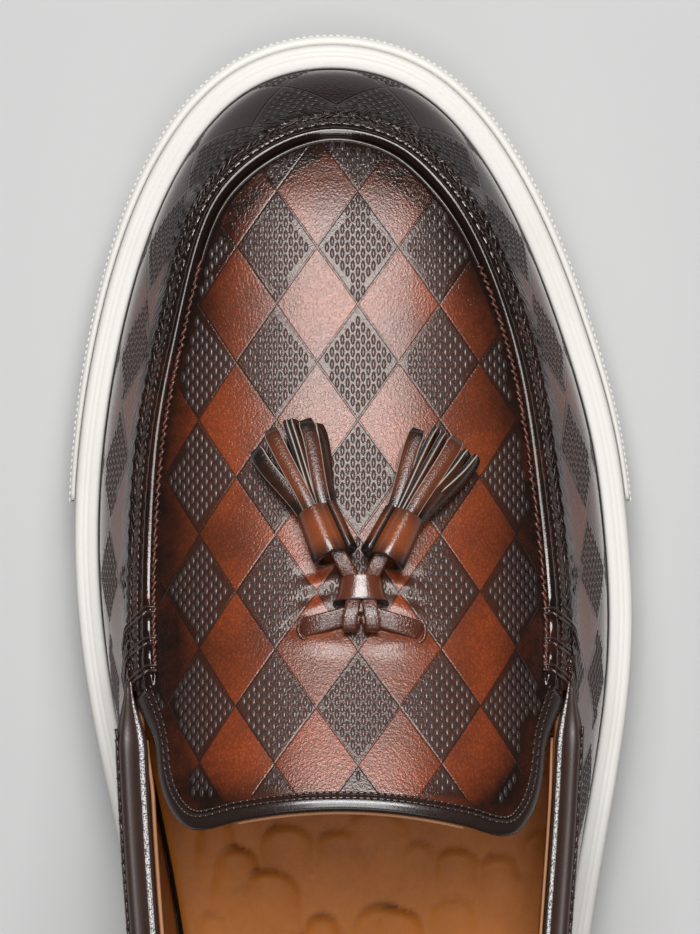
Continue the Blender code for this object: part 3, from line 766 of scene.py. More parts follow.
def rib_shape(tree, given):
    return rod(tree, given, low_side_shade=10, segments=1)


SEED_TREE = planting_tree("Stamped seeds", BASE_SIZES + ("Trough width", "Trough length"), seed_shape)
STITCH_TREE = planting_tree("Stitches", BASE_SIZES, stitch_shape)
RIB_TREE = planting_tree("Ribs", BASE_SIZES, rib_shape)
print("planting trees:", SEED_TREE.name, STITCH_TREE.name, RIB_TREE.name)

# %% [markdown]
# ## White rubber
# Sole and toe bumper are moulded from the same white rubber: matte, with a slight mould texture, and greyer
# in soft patches where dust has settled. Noise in the object's own coordinates makes both, so no picture is
# needed and nothing slides over the shoe when it is moved.

# %% White rubber
def rubber_finish():
    material, tree, shader, place = finish("white_rubber", Specular_IOR_Level=0.4)
    dust = maths(tree, "MULTIPLY", ranged(tree, cloud(tree, place, 26.0, 4.0), 0.46, 0.78), 0.35)
    shade = mixed(tree, dust, (0.67, 0.655, 0.615, 1.0), (0.575, 0.555, 0.505, 1.0))
    feed(tree, shade, shader.inputs["Base Color"])
    skin = cloud(tree, place, 0.7, 3.0)
    feed(tree, maths(tree, "ADD", maths(tree, "MULTIPLY", skin, 0.2), 0.42), shader.inputs["Roughness"])
    bump(tree, shader, skin, 0.05)
    return material


RUBBER = rubber_finish()
print("finish:", RUBBER.name)

# %% [markdown]
# ## The cup sole
# The sole is one moulded cup with a flat heel and forefoot, a low arch and a toe that lifts off the ground.
# Seen from above only its rim shows: a broad lip against the leather, a fine bead between two grooves, and an
# outer band before the side falls away. Each of these is a ring of the feather line moved outwards, so the
# steps keep an even width round the toe. Scaling the outline instead would make them uneven.

# %% Sole
GAP = 0.3
TOE_END = 148.0
TOE_SPRING = 10.5
SPRING_FROM = 78.0
HEEL_END = -148.0
HEEL_BEVEL = 2.5
BEVEL_FROM = -132.0
ARCH_RISE = 1.8
ARCH_BACK = -58.0
ARCH_FRONT = 10.0
RIM_WIDTH = 5.2
SOLE_COLUMNS = 400

# From the ground up, over the rim and down into the cup: (outside the feather line, from, offset)
SOLE_SIDE = (
    (3.2, "ground", 0.0), (3.9, "ground", 0.25), (4.4, "ground", 0.8), (4.7, "ground", 1.8),
    (4.95, "ground", 4.0), (5.2, "rim", -6.0), (5.2, "rim", -2.6), (5.1, "rim", -1.5),
    (4.9, "rim", -0.85), (4.6, "rim", -0.5), (4.2, "rim", -0.35), (3.9, "rim", -0.30),
    (3.72, "rim", -0.30), (3.58, "rim", -0.32), (3.44, "rim", -0.27), (3.3, "rim", -0.22),
    (3.1, "rim", -0.18), (2.9, "rim", -0.18), (2.76, "rim", -0.20), (2.62, "rim", -0.20),
    (2.48, "rim", -0.14), (2.3, "rim", -0.07), (2.0, "rim", 0.0), (1.05, "rim", 0.0),
    (0.7, "rim", -0.12), (0.5, "rim", -0.45), (0.45, "rim", -3.0), (GAP, "floor", 0.0),
)


def ground_z(y):
    """Flat heel and forefoot, low arch, toe spring and heel bevel."""
    toe = np.clip((y - SPRING_FROM) / (TOE_END - SPRING_FROM), 0.0, 1.0)
    heel = np.clip((BEVEL_FROM - y) / (BEVEL_FROM - HEEL_END), 0.0, 1.0)
    arch = np.clip((y - ARCH_BACK) / (ARCH_FRONT - ARCH_BACK), 0.0, 1.0)
    return TOE_SPRING * toe ** 2 + HEEL_BEVEL * heel ** 2 + ARCH_RISE * np.sin(math.pi * arch) ** 2


LEVELS = {"ground": ground_z, "rim": rim_z, "floor": floor_z}


def ring(place, distance, level, offset):
    """The feather line moved outwards, at a level of the shoe."""
    plan = last(place)[:, 0:2] + outward(place, 0) * distance
    return np.column_stack([plan, LEVELS[level](plan[:, 1]) + offset])


def make_sole():
    place = spaced(0.0, ROWS, SOLE_COLUMNS)[:-1]
    points = np.vstack([ring(place, *entry) for entry in SOLE_SIDE])
    rows = np.arange(len(points)).reshape(len(SOLE_SIDE), SOLE_COLUMNS).tolist()
    faces = quads(rows, True) + ladder(rows[0]) + ladder(rows[-1])
    return new_object("cup_sole", points, faces, [RUBBER])


settle(make_sole(), "sole_rubber", "sole")

# %% [markdown]
# ## The ribbed toe bumper
# A rubber strip is bonded round the toe and stops with a small step beside the ball. Its face carries short
# upright ribs. The strip is a sweep that grows thicker towards the toe, and Geometry Nodes plant one rib
# every 1.25 mm, each stretched to the height of the strip at its place.

# %% Toe bumper
BUMPER_ENDS = 57.0
BUMPER_TOE = 2.1
BUMPER_SIDE = 1.2
BUMPER_FOOT = 4.5
BUMPER_HEAD = 5.5
BUMPER_CUTS = 6001
# Section of the strip: (share of its thickness, from, offset)
BUMPER_SECTION = (
    (0.0, "ground", 0.0), (0.75, "ground", 0.0), (1.0, "ground", 0.5), (1.0, "rim", -1.4),
    (0.85, "rim", -0.5), (0.5, "rim", 0.0), (0.0, "rim", 0.0),
)
RIB_PITCH = 1.25
RIB_DEPTH = 0.22
RIB_HALF = 0.46
RIB_FOOT = 0.6
RIB_HEAD = 1.0


def bumper_stations(pitch):
    """Even stations along the strip: feather line, plan normal, thickness."""
    fine = np.linspace(-ROWS / 2.0, ROWS / 2.0, BUMPER_CUTS)
    plan = last(fine)[:, 0:2] + outward(fine, 0) * RIM_WIDTH
    ahead = plan[:, 1] > BUMPER_ENDS
    run = run_length(plan[ahead])
    place = np.interp(np.linspace(0.0, run[-1], int(run[-1] / pitch) + 1), run, fine[ahead])
    line = last(place)[:, 0:2]
    toe_share = np.clip((line[:, 1] - BUMPER_ENDS) / (TOE_END - RIM_WIDTH - BUMPER_ENDS), 0.0, 1.0)
    return line, outward(place, 0), BUMPER_SIDE + (BUMPER_TOE - BUMPER_SIDE) * toe_share


def make_bumper():
    line, out, thick = bumper_stations(RIB_PITCH)
    back = RIM_WIDTH + GAP
    skin = thick - RIB_DEPTH
    rows = []
    for share, level, offset in BUMPER_SECTION:
        plan = line + out * (back + skin * share)[:, None]
        base = BUMPER_FOOT if level == "ground" else -BUMPER_HEAD
        rows.append(np.column_stack([plan, LEVELS[level](plan[:, 1]) + base + offset]))
    stations = np.stack(rows, axis=1)
    size = len(rows)
    numbers = np.arange(stations.shape[0] * size).reshape(-1, size).tolist()
    faces = quads(numbers, True) + [numbers[0], numbers[-1]]
    strip = new_object("toe_bumper_strip", stations.reshape(-1, 3), faces, [RUBBER])
    plan = line + out * (back + skin)[:, None]
    foot = ground_z(plan[:, 1]) + BUMPER_FOOT + RIB_FOOT
    head = rim_z(plan[:, 1]) - BUMPER_HEAD - RIB_HEAD
    points = np.column_stack([plan, (foot + head) / 2.0])
    facing = np.column_stack([out, np.zeros(len(out))])
    upright = np.tile((0.0, 0.0, 1.0), (len(out), 1))
    stretch = np.column_stack([np.ones(len(out)), (head - foot) / 2.0, np.ones(len(out))])
    settings = {"Half width": RIB_HALF * MM, "Half length": MM, "Height": RIB_DEPTH * MM, "Finish": RUBBER}
    ribs = plant("toe_bumper_ribs", RIB_TREE, points, facing, upright, settings, stretch)
    return strip, ribs


for made in make_bumper():
    settle(made, "sole_rubber", "toe_bumper")

# %% [markdown]
# ## The footbed's moulded scales
# The tan leather footbed is moulded with large, soft, overlapping scales, each with an arched edge towards
# the toe. A scale is a low slope at a jittered grid place, and the highest one wins. The function also gives
# the shade that gathers before each arched edge, which is painted into the footbed's colour. Geometry, not
# bump, keeps the scales true at the low angles from which one looks into a shoe.

# %% Footbed scales
MOUND_PITCH = 8.2
MOUND_ROW = 1.35
MOUND_HEIGHT = 1.6
MOUND_HALF = 5.6
MOUND_ARCH = 4.8
MOUND_EDGE = 1.6
MOUND_TAIL = 13.0
VALLEY_SPREAD = 0.6
# Least and most of each scale: shift across, shift along, growth, tallness
MOUND_LEAST = (-3.2, -5.0, 0.6, 0.3)
MOUND_MOST = (3.2, 5.0, 1.2, 1.0)


def mounds(x, y):
    """Height of overlapping scales on a jittered grid, and the shade before each scale's toe edge."""
    draw = np.random.default_rng(7)
    height = np.zeros(x.shape)
    shade = np.zeros(x.shape)
    for column in np.arange(-54.0, 55.0, MOUND_PITCH):
        for row in np.arange(-146.0, 146.0, MOUND_PITCH * MOUND_ROW):
            dx, dy, grow, tall = draw.uniform(MOUND_LEAST, MOUND_MOST)
            across = np.clip(np.abs(x - column - dx) / (MOUND_HALF * grow), 0.0, 1.0)
            behind = row + dy + MOUND_ARCH * grow * np.sqrt(1.0 - across ** 2) - y
            crest = tall * (1.0 - across ** 2)
            scale = crest * fade(behind, 0.0, MOUND_EDGE) * np.clip(1.0 - behind / MOUND_TAIL, 0.0, 1.0)
            dark = np.clip(crest - height, 0.0, None) * np.exp(-((behind + 0.1) / VALLEY_SPREAD) ** 2)
            shade = np.maximum(np.where(scale > height, 0.3 * shade, shade), dark)
            height = np.maximum(height, scale)
    return height * MOUND_HEIGHT, shade


print("scales every %.1f mm" % MOUND_PITCH)

# %% [markdown]
# ## The footbed
# The footbed lies in the cup with a small gap all round. Its upright edge is a dark welt, and its top is a
# net of rows across the shoe, raised by the scales but flat at the border. Each vertex keeps the painted
# shade before the scales' edges, and a broad painted shadow near and under the tongue, where the upper shades
# the footbed.

# %% Footbed
# The tan is darkened where the footbed carries painted shade.
TAN = plain_leather("tan_leather", (0.62, 0.205, 0.034, 1.0), (0.20, 0.058, 0.013, 1.0),
                    amount=0.12, marks="painted_shade")
TAN.node_tree.nodes["Principled BSDF"].inputs["Specular IOR Level"].default_value = 0.2
WELT = plain_leather("dark_welt", (0.030, 0.013, 0.007, 1.0), (0.010, 0.006, 0.004, 1.0), amount=0.3)
INSOLE_INSET = 2.8
FOOTBED = 4.0
FOOTBED_ROUND = 0.8
FOOTBED_BORDER = 5.0
WELT_REACH = 0.9
FOOTBED_CELLS = 120
FOOTBED_ROWS = 480
# Strength of the painted shade before the scales' edges and of the painted shadow at the tongue
VALLEY_DARK = 0.9
TONGUE_SHADOW_DARK = 0.48


def make_footbed():
    count = 2 * FOOTBED_ROWS
    place = spaced(0.0, ROWS, count)[:-1]
    low = ring(place, -INSOLE_INSET, "floor", GAP)
    welt = ring(place, -INSOLE_INSET, "floor", FOOTBED - 2.0 * FOOTBED_ROUND)
    side = ring(place, -INSOLE_INSET - WELT_REACH, "floor", FOOTBED - FOOTBED_ROUND)
    edge = ring(place, -INSOLE_INSET - WELT_REACH - FOOTBED_ROUND, "floor", FOOTBED)
    points = np.vstack([low, welt, side, edge])
    rows = np.arange(len(points)).reshape(4, count).tolist()
    faces = quads(rows, True) + ladder(rows[0])
    indices = [1] * (2 * count) + [0] * (len(faces) - 2 * count)
    share = np.linspace(0.0, 1.0, FOOTBED_CELLS + 1)[1:-1]
    across = [[rows[-1][0]] * (FOOTBED_CELLS + 1)]
    inside = []
    valleys = np.zeros(len(points))
    start = len(points)
    for i in range(1, FOOTBED_ROWS):
        inner = edge[i]
        outer = edge[count - i]
        flat = inner[None] + (outer - inner)[None] * share[:, None]
        width = np.linalg.norm(outer[:2] - inner[:2])
        border = fade(np.minimum(share, 1.0 - share) * width, 0.0, FOOTBED_BORDER)
        height, painted_shade = mounds(flat[:, 0], flat[:, 1])
        flat[:, 2] = floor_z(flat[:, 1]) + FOOTBED + height * border
        inside.append(flat)
        # Painted shadow near and under the tongue, where the upper shades the footbed
        damped = TONGUE_SHADOW_DARK * fade(flat[:, 1], -40.0, 4.0) * fade(flat[:, 1], 90.0, 40.0)
        valleys = np.append(valleys, VALLEY_DARK * painted_shade * border + damped)
        numbers = list(range(start, start + len(share)))
        start += len(share)
        across.append([rows[-1][i]] + numbers + [rows[-1][count - i]])
    across.append([rows[-1][FOOTBED_ROWS]] * (FOOTBED_CELLS + 1))
    top = patch(across)
    faces += top
    indices += [0] * len(top)
    made = new_object("footbed", np.vstack([points] + inside), faces, [TAN, WELT], indices=indices)
    store_numbers(made.data, "painted_shade", valleys)
    return made


settle(make_footbed(), "footbed", "insole")

# %% [markdown]
# ## Places on the flat leather
# The leather was stamped while it was flat and then stretched over the last. To let the pattern follow the
# shoe, each point has to know its place on the flat leather: across and along the apron with the crown rolled
# out, or up and along the wall. Projecting the pattern from above would squeeze it on the steep sides.

# %% Layout of the leather
LOZENGE_WIDTH = 15.5
LOZENGE_LENGTH = 22.5
LOZENGES_TO_HEEL = 15
PATTERN_MIDDLE = 1.5
VAMP_Y = np.linspace(-12.0, 135.0, 800)
VAMP_RUN = run_length(np.column_stack([VAMP_Y, vamp_centre(VAMP_Y)]))


def crown_stretch(x, y):
    """Length over the crown from the middle out to x, as a share of its plan."""
    steep = (crown_fall(y) * CROWN_POWER / VAMP_HALF) ** 2 / (4.0 * CROWN_POWER - 2.0)
    return 1.0 + steep * np.abs(x / VAMP_HALF) ** (2.0 * CROWN_POWER - 2.0)


def apron_place(x, y):
    """Place on the flat leather of the apron, across and along, in millimetres."""
    x = x - PATTERN_MIDDLE
    return np.column_stack([x * crown_stretch(x, y), np.interp(y, VAMP_Y, VAMP_RUN)])


def wall_run(place):
    """Way from the toe along the wall's own side, in lozenges; both sides meet at the heel."""
    run = np.interp(place, FINE, FEATHER_RUN)
    heel = np.interp(HEEL_ROW, FINE, FEATHER_RUN)
    inner = run / heel
    outer = (FEATHER_RUN[-1] - run) / (FEATHER_RUN[-1] - heel)
    return LOZENGES_TO_HEEL * np.where(place <= HEEL_ROW, inner, outer)


print("apron %.0f mm long on the flat leather" % VAMP_RUN[-1])

# %% [markdown]
# ## Relief of seam and creases
# The moccasin seam is a low ridge and a high one side by side, drawn as a short profile. Whipped threads
# pull it down at three places on each side, and it runs out at the throat. Round the knot the leather is
# drawn into small folds: each is a soft trough or ridge along a short line. Sculpting would do as well, but
# a table can be moved and measured.

# %% Seam and creases
# Raised seam: (distance inside the wall top, height over the apron)
SEAM_PROFILE = ((0.35, -0.25), (0.8, -0.2), (1.3, 0.45), (1.8, 0.95), (2.25, 1.0), (2.6, 0.72), (2.8, 1.25),
                (2.95, 1.75), (3.1, 1.92), (3.35, 1.9), (3.6, 1.83), (3.85, 1.69), (4.1, 1.52), (4.35, 1.33),
                (4.6, 1.1), (4.75, 0.8), (4.95, 0.25), (5.2, -0.1), (5.5, -0.15), (6.0, 0.0))
SEAM_CREST = 11
SEAM_BREADTH = SEAM_PROFILE[-1][0]
WHIP_PLACES = (36.7, 30.8, 25.7)
WHIP_PINCH = 0.9


def seam_scale(y):
    """The seam sinks where threads pull it in, and at its ends."""
    pinch = sum(np.exp(-((y - place) / WHIP_PINCH) ** 2) for place in WHIP_PLACES)
    return (1.0 - 0.5 * np.clip(pinch, 0.0, 1.0)) * (0.12 + 0.88 * fade(y, 21.5, 25.0))


# Creases round the knot: (from x, y, to x, y, height, half width)
CREASES = (
    (-2.6, 44.4, -9.5, 43.2, -0.26, 1.0), (-2.8, 42.6, -10.0, 40.8, 0.28, 1.1),
    (-3.0, 40.8, -9.6, 38.6, -0.28, 1.0), (-3.2, 39.0, -8.8, 36.6, 0.26, 1.1),
    (6.6, 44.2, 13.4, 42.6, -0.26, 1.0), (6.8, 42.4, 14.0, 40.2, 0.28, 1.1),
    (7.0, 40.6, 13.6, 38.0, -0.28, 1.0), (7.2, 38.8, 12.8, 36.2, 0.26, 1.1),
    (-8.3, 34.0, -12.5, 33.4, -0.35, 1.4), (12.7, 33.3, 17.0, 32.6, -0.35, 1.4),
    (-7.6, 31.4, -1.0, 30.6, 0.30, 1.6), (4.8, 30.6, 12.0, 31.2, 0.30, 1.6),
)


def crease_lift(x, y):
    """Sum of soft troughs and ridges, each along a short line."""
    lift = np.zeros(len(x))
    for x0, y0, x1, y1, height, half in CREASES:
        run = np.array([x1 - x0, y1 - y0])
        t = np.clip(((x - x0) * run[0] + (y - y0) * run[1]) / run.dot(run), 0.0, 1.0)
        off = np.hypot(x - x0 - t * run[0], y - y0 - t * run[1])
        lift += height * np.exp(-(off / half) ** 2) * np.sin(math.pi * (0.15 + 0.7 * t))
    return lift


print("creases round the knot:", len(CREASES))

# %% [markdown]
# ## Where the wax lies
# Burnishing leaves most wax where the brush goes last: along the seam, round the toe, at the foot of the
# wall and at the tongue's end. The ball and the middle of the apron stay bright. Over the apron's low sides
# the amount also holds painted shade. Both amounts are plain functions of a point's place, read by the
# leather's mesh and by the stamped seeds, so the two agree.

# %% Wax
APRON_TOE = 125.5
TOE_WAX_REACH = 16.0
SEAM_WAX_REACH = 6.5
TONGUE_WAX_REACH = 6.0


def wall_wax(points, share):
    """Near black round the toe, foot and heel, lighter on the sides of the ball."""
    y = points[:, 1]
    glow = fade(y, 112.0, 88.0) * fade(y, -10.0, 40.0) * fade(share, 0.2, 0.6)
    seam = fade(share, 0.72, 0.97) * fade(y, 15.0, 30.0)
    return 0.84 - 0.40 * glow * (1.0 - seam) + 0.30 * fade(y, 95.0, 125.0) + 0.20 * seam


def apron_wax(x, y, border):
    """Dark along the seam, at the toe and at the tongue's end, with painted shade over the low sides."""
    toe = np.exp(-(np.clip(APRON_TOE - y, 0.0, None) / TOE_WAX_REACH) ** 2)
    seam = np.exp(-(border / SEAM_WAX_REACH) ** 2) + 0.75 * toe
    # Painted shade over the apron's low sides
    low_side_shade = fade(np.abs(x - PATTERN_MIDDLE), 17.0, 34.0) * fade(y, 66.0, 28.0)
    end = np.exp(-(np.clip(y + 1.0, 0.0, None) / TONGUE_WAX_REACH) ** 2)
    return np.clip(0.04 + 0.80 * seam + 0.32 * low_side_shade + 0.7 * end, 0.0, 0.92)


print("wax at the middle of the apron: %.2f" % apron_wax(PATTERN_MIDDLE, 70.0, 35.0))

# %% [markdown]
# ## The net of the upper
# The upper is one stretched skin: side walls, raised seam, apron and tongue. It is laid out in rows that
# follow the last, finely in front and coarser round the heel. Each vertex remembers its place on the flat
# leather, its wax, whether it lies on a plain border and how far the leather is gathered there, so a finish
# can follow the surface. The lining uses the same functions with fewer rows.

# %% Walls and seam
PUCKER_PITCH = 3.1
WALL_PUCKER = 0.16
SEAM_PUCKER = 0.12


class LeatherNet:
    """Points of the upper with their place on the leather, wax, plain border and gathered folds."""

    def __init__(self):
        self.points = np.zeros((0, 3))
        self.place = np.zeros((0, 2))
        self.numbers = {"wax": np.zeros(0), "plain": np.zeros(0), "gather": np.zeros(0)}
        self.faces = []

    def add(self, points, place, wax, plain, gather=0.0):
        start = len(self.points)
        count = len(points)
        self.points = np.vstack([self.points, points])
        self.place = np.vstack([self.place, np.broadcast_to(place, (count, 2))])
        for label, value in (("wax", wax), ("plain", plain), ("gather", gather)):
            self.numbers[label] = np.append(self.numbers[label], np.broadcast_to(value, (count,)))
        return list(range(start, start + count))

    def add_apron(self, x, y, wax, plain, creased):
        lift = crease_lift(x, y) if creased else 0.0
        place = apron_place(x, y) / (LOZENGE_WIDTH, LOZENGE_LENGTH)
        return self.add(np.column_stack([x, y, vamp_z(x, y) + lift]), place, wax, plain)


def lay_walls(net, place, shares, ripple, in_front):
    """Rings from inside the cup up the wall; gives them and the way climbed at the top."""
    count = len(place)
    run = wall_run(place)
    rings = [net.add(ring(place, 0.0, "floor", GAP), np.zeros((count, 2)), 0.9, 1.0),
             net.add(ring(place, 0.0, "rim", -1.5), np.zeros((count, 2)), 0.9, 1.0)]
    climbed = np.zeros(count)
    before = wall_point(place, shares[0])
    for share in shares:
        points = wall_point(place, share)
        climbed = climbed + np.linalg.norm(points - before, axis=1)
        before = points
        gather = WALL_PUCKER * ripple * in_front * fade(share, 0.78, 0.98)
        points = points + np.column_stack([outward(place, 0) * gather[:, None], np.zeros(count)])
        flat = np.column_stack([climbed / LOZENGE_WIDTH, run])
        border = 1.0 - fade(share, 0.0, 0.04) + fade(share, 0.93, 1.0)
        folds = in_front * fade(share, 0.78, 0.97) * (0.4 + 0.6 * fade(points[:, 1], 60.0, 105.0))
        rings.append(net.add(points, flat, wall_wax(points, np.full(count, share)), border, folds))
    net.faces += quads(rings, True)
    return rings, climbed


def lay_seam(net, place, top, climbed, seam, ripple):
    """Rows of the raised seam, from the wall top to the apron's border."""
    y = last(place)[:, 3]
    run = wall_run(place)
    scale = seam_scale(y)
    wax = 0.95 + 0.25 * fade(y, 80.0, 112.0)
    rows = [top]
    for inward, raised in seam:
        lift = raised * scale + SEAM_PUCKER * ripple * (inward < 3.0)
        flat = np.column_stack([(climbed + inward) / LOZENGE_WIDTH, run])
        rows.append(net.add(seam_point(place, inward, lift), flat, wax, 1.0, fade(inward, 1.9, 0.9)))
    net.faces += quads(rows, False)
    return rows


print("walls and seam ready")

# %% [markdown]
# ## Apron and tongue
# The apron is filled with rows from one side of the seam's border to the other, starting from a single point
# at the toe. The tongue goes on behind the throat, between two smooth edge curves, and bows forward at its
# end. A grid fill would do for a flat apron, but these rows keep to the shoe's width and are easy to number.

# %% Apron and tongue
TONGUE_BOW = 4.4
# Tongue edge behind the throat: (share of the way, inner x, y, outer x, y)
TONGUE_EDGE = (
    (0.33, -35.1, 14.3, 35.3, 14.0),
    (0.66, -33.8, 6.0, 34.0, 5.4),
    (0.88, -31.5, 1.2, 31.8, 0.2),
    (1.0, -28.0, -0.8, 28.4, -1.9),
)


def lay_apron(net, border_row, cells, creased):
    """Rows across the apron between the two sides of its border, toe first."""
    toe = len(border_row) // 2
    share = np.linspace(0.0, 1.0, cells + 1)[1:-1]
    for number in border_row:
        spot = net.points[number]
        net.place[number] = (apron_place(spot[0:1], spot[1:2]) / (LOZENGE_WIDTH, LOZENGE_LENGTH))[0]
    rows = [[border_row[toe]] * (cells + 1)]
    for inner, outer in zip(border_row[toe + 1:], border_row[toe - 1::-1]):
        start = net.points[inner]
        end = net.points[outer]
        x = start[0] + (end[0] - start[0]) * share
        y = start[1] + (end[1] - start[1]) * share
        border = np.minimum(share, 1.0 - share) * abs(end[0] - start[0])
        inside = net.add_apron(x, y, apron_wax(x, y, border), 0.0, creased)
        rows.append([inner] + inside + [outer])
    net.faces += patch(rows)
    return rows


def lay_tongue(net, throat, steps):
    """Rows of the tongue behind the throat, between the curves of its two edges."""
    across = net.points[throat][:, 0]
    share = (across - across[0]) / (across[-1] - across[0])
    ends = net.points[[throat[0], throat[-1]]]
    table = np.array([(0.0, ends[0, 0], ends[0, 1], ends[1, 0], ends[1, 1])] + list(TONGUE_EDGE))
    columns = [smooth_curve(np.column_stack([table[:, 0], table[:, k]])) for k in range(1, 5)]
    rows = [throat]
    for reach in np.linspace(0.0, 1.0, steps + 1)[1:]:
        inner_x, inner_y, outer_x, outer_y = (float(column(reach)) for column in columns)
        x = inner_x + (outer_x - inner_x) * share
        y = inner_y + (outer_y - inner_y) * share
        y = y + TONGUE_BOW * reach ** 2 * (1.0 - (2.0 * share - 1.0) ** 2)
        border = np.minimum(share, 1.0 - share) * (outer_x - inner_x)
        plain = np.clip(fade(border, 3.2, 2.4) + fade(reach, 0.84, 0.92), 0.0, 1.0)
        rows.append(net.add_apron(x, y, apron_wax(x, y, border), plain, False))
    net.faces += patch(rows)


def leather_net(front, back, shares, seam, crest, cells, tongue_steps, detail):
    """The open skin of the upper at a chosen fineness."""
    net = LeatherNet()
    inner = spaced(0.0, THROAT_ROW, front)[:-1]
    rear = spaced(THROAT_ROW, ROWS - THROAT_ROW, back)[:-1]
    outer = spaced(ROWS - THROAT_ROW, ROWS, front)[:-1]
    place = np.concatenate([inner, rear, outer])
    in_front = (place < THROAT_ROW) | (place > ROWS - THROAT_ROW)
    ripple = np.sin(2.0 * math.pi * np.interp(place, FINE, FEATHER_RUN) / PUCKER_PITCH) * detail
    rings, climbed = lay_walls(net, place, shares, ripple, in_front)
    columns = list(range(len(place) - front, len(place))) + list(range(front + 1))
    top = [rings[-1][c] for c in columns]
    seam_rows = lay_seam(net, place[columns], top, climbed[columns], seam, ripple[columns])
    apron = lay_apron(net, seam_rows[-1], cells, detail > 0)
    inner_end = [row[-1] for row in seam_rows[crest + 1:-1]]
    outer_end = [row[0] for row in seam_rows[crest + 1:-1]]
    lay_tongue(net, inner_end + apron[-1] + outer_end[::-1], tongue_steps)
    return net


UPPER_NET = leather_net(front=184, back=190, shares=np.linspace(0.0, 1.0, 31), seam=SEAM_PROFILE,
                        crest=SEAM_CREST, cells=76, tongue_steps=26, detail=1.0)
print("upper: %d points, %d faces before its wall" % (len(UPPER_NET.points), len(UPPER_NET.faces)))

# %% [markdown]
# ## Burnished leather with lozenges
# The calf skin is dyed in layers: orange-brown where the wax was rubbed thin, almost black along seam, toe
# and foot. Plain lozenges alternate with stamped, darker ones on a slanting lattice. The pattern is worked
# out from the UV map with a few Math nodes: turning the axes by sum and difference makes lozenges of
# squares, and a floored modulo picks every other one. A thin pressed line runs along the borders, the low
# places of the grain are drawn darker, and where the wall is gathered to the seam a stretched noise adds
# small folds.

# %% Lozenge leather
SMOOTH_BROWN = (0.270, 0.050, 0.014, 1.0)
DEEP_BROWN = (0.150, 0.032, 0.011, 1.0)
STAMPED_BROWN = (0.066, 0.021, 0.012, 1.0)
WAX_BLACK = (0.009, 0.0045, 0.0034, 1.0)
SHEEN_TINT = (1.0, 0.94, 0.90, 1.0)
LEATHER_GRAIN = 0.75
LEATHER_ROUGH = 0.335
LEATHER_RELIEF = 0.05
FOLD_WIDTH = 1.1
FOLD_LENGTH = 3.6
FOLD_SLANT = 1.5
FOLD_DEPTH = 7.2


def gathered_folds(tree, flat):
    """Slanted little folds where the wall is gathered to the seam, in units of the leather's relief."""
    across = maths(tree, "MULTIPLY", flat.outputs[0], LOZENGE_WIDTH)
    along = maths(tree, "MULTIPLY", flat.outputs[1], LOZENGE_LENGTH)
    leaning = maths(tree, "ADD", along, maths(tree, "MULTIPLY", across, FOLD_SLANT))
    spot = add_node(tree, "ShaderNodeCombineXYZ")
    feed(tree, maths(tree, "DIVIDE", across, FOLD_LENGTH), spot.inputs[0])
    feed(tree, maths(tree, "DIVIDE", leaning, FOLD_WIDTH), spot.inputs[1])
    folds = ranged(tree, noise(tree, spot.outputs[0], 1.0, 1.0)[0], 0.3, 0.7)
    amount = maths(tree, "MULTIPLY", attribute(tree, "gather"), FOLD_DEPTH)
    return maths(tree, "MULTIPLY", folds, amount)


def lozenge_leather():
    material, tree, shader, place = finish(
        "burnished_leather", Coat_Weight=0.05, Coat_Roughness=COAT_ROUGHNESS, Specular_IOR_Level=0.45,
        Specular_Tint=SHEEN_TINT)
    flat = add_node(tree, "ShaderNodeSeparateXYZ")
    feed(tree, add_node(tree, "ShaderNodeUVMap", uv_map="lozenge").outputs[0], flat.inputs[0])
    sums = maths(tree, "ADD", flat.outputs[0], flat.outputs[1])
    gaps = maths(tree, "SUBTRACT", flat.outputs[0], flat.outputs[1])
    both = maths(tree, "ADD", maths(tree, "FLOOR", sums), maths(tree, "FLOOR", gaps))
    wax = attribute(tree, "wax")
    patterned = maths(tree, "SUBTRACT", 1.0, attribute(tree, "plain"), clamp=True)
    stamped = maths(tree, "MULTIPLY", maths(tree, "FLOORED_MODULO", both, 2.0), patterned)
    off = []
    for value in (sums, gaps):
        centred = maths(tree, "SUBTRACT", maths(tree, "FRACT", value), 0.5)
        off.append(maths(tree, "ABSOLUTE", centred))
    line = maths(tree, "MULTIPLY", ranged(tree, maths(tree, "MAXIMUM", *off), 0.475, 0.497), patterned)
    patina = ranged(tree, cloud(tree, place, 17.0, 3.0), 0.35, 0.7)
    smooth = mixed(tree, patina, SMOOTH_BROWN, DEEP_BROWN)
    pattern = mixed(tree, stamped, smooth, STAMPED_BROWN)
    lined = mixed(tree, maths(tree, "MULTIPLY", line, 0.55), pattern, WAX_BLACK)
    grain = placed(tree, GRAIN, Place=place, Size=LEATHER_GRAIN)
    valleys = maths(tree, "SUBTRACT", 1.0, ranged(tree, grain, 0.42, 0.74))
    grained = mixed(tree, maths(tree, "MULTIPLY", valleys, 0.35), lined, WAX_BLACK)
    colour = placed(tree, BURNISH, Colour=grained, Dark=WAX_BLACK, Amount=wax, Place=place)
    feed(tree, colour, shader.inputs["Base Color"])
    damped = maths(tree, "ADD", maths(tree, "MULTIPLY", patterned, 0.75), 0.25)
    relief = maths(tree, "SUBTRACT", maths(tree, "MULTIPLY", grain, damped), maths(tree, "MULTIPLY", line, 0.9))
    relief = maths(tree, "ADD", relief, gathered_folds(tree, flat))
    gloss = maths(tree, "ADD", maths(tree, "MULTIPLY", grain, 0.12), maths(tree, "MULTIPLY", wax, 0.15))
    feed(tree, maths(tree, "SUBTRACT", LEATHER_ROUGH, gloss), shader.inputs["Roughness"])
    bump(tree, shader, relief, LEATHER_RELIEF)
    return material


LEATHER = lozenge_leather()
print("finish:", LEATHER.name)

# %% [markdown]
# ## The upper
# Now the net becomes a mesh. The places on the flat leather go into a UV map and the other numbers into
# vertex attributes, where the finish finds them. A Solidify modifier thickens the skin inwards, so the
# outside stays on the last, and every cut edge shows the leather's thickness.

# %% Upper
UPPER_SKIN = 0.9


def shell(piece, thickness):
    wall = piece.modifiers.new("Wall", "SOLIDIFY")
    wall.thickness = thickness * MM
    wall.offset = -1.0


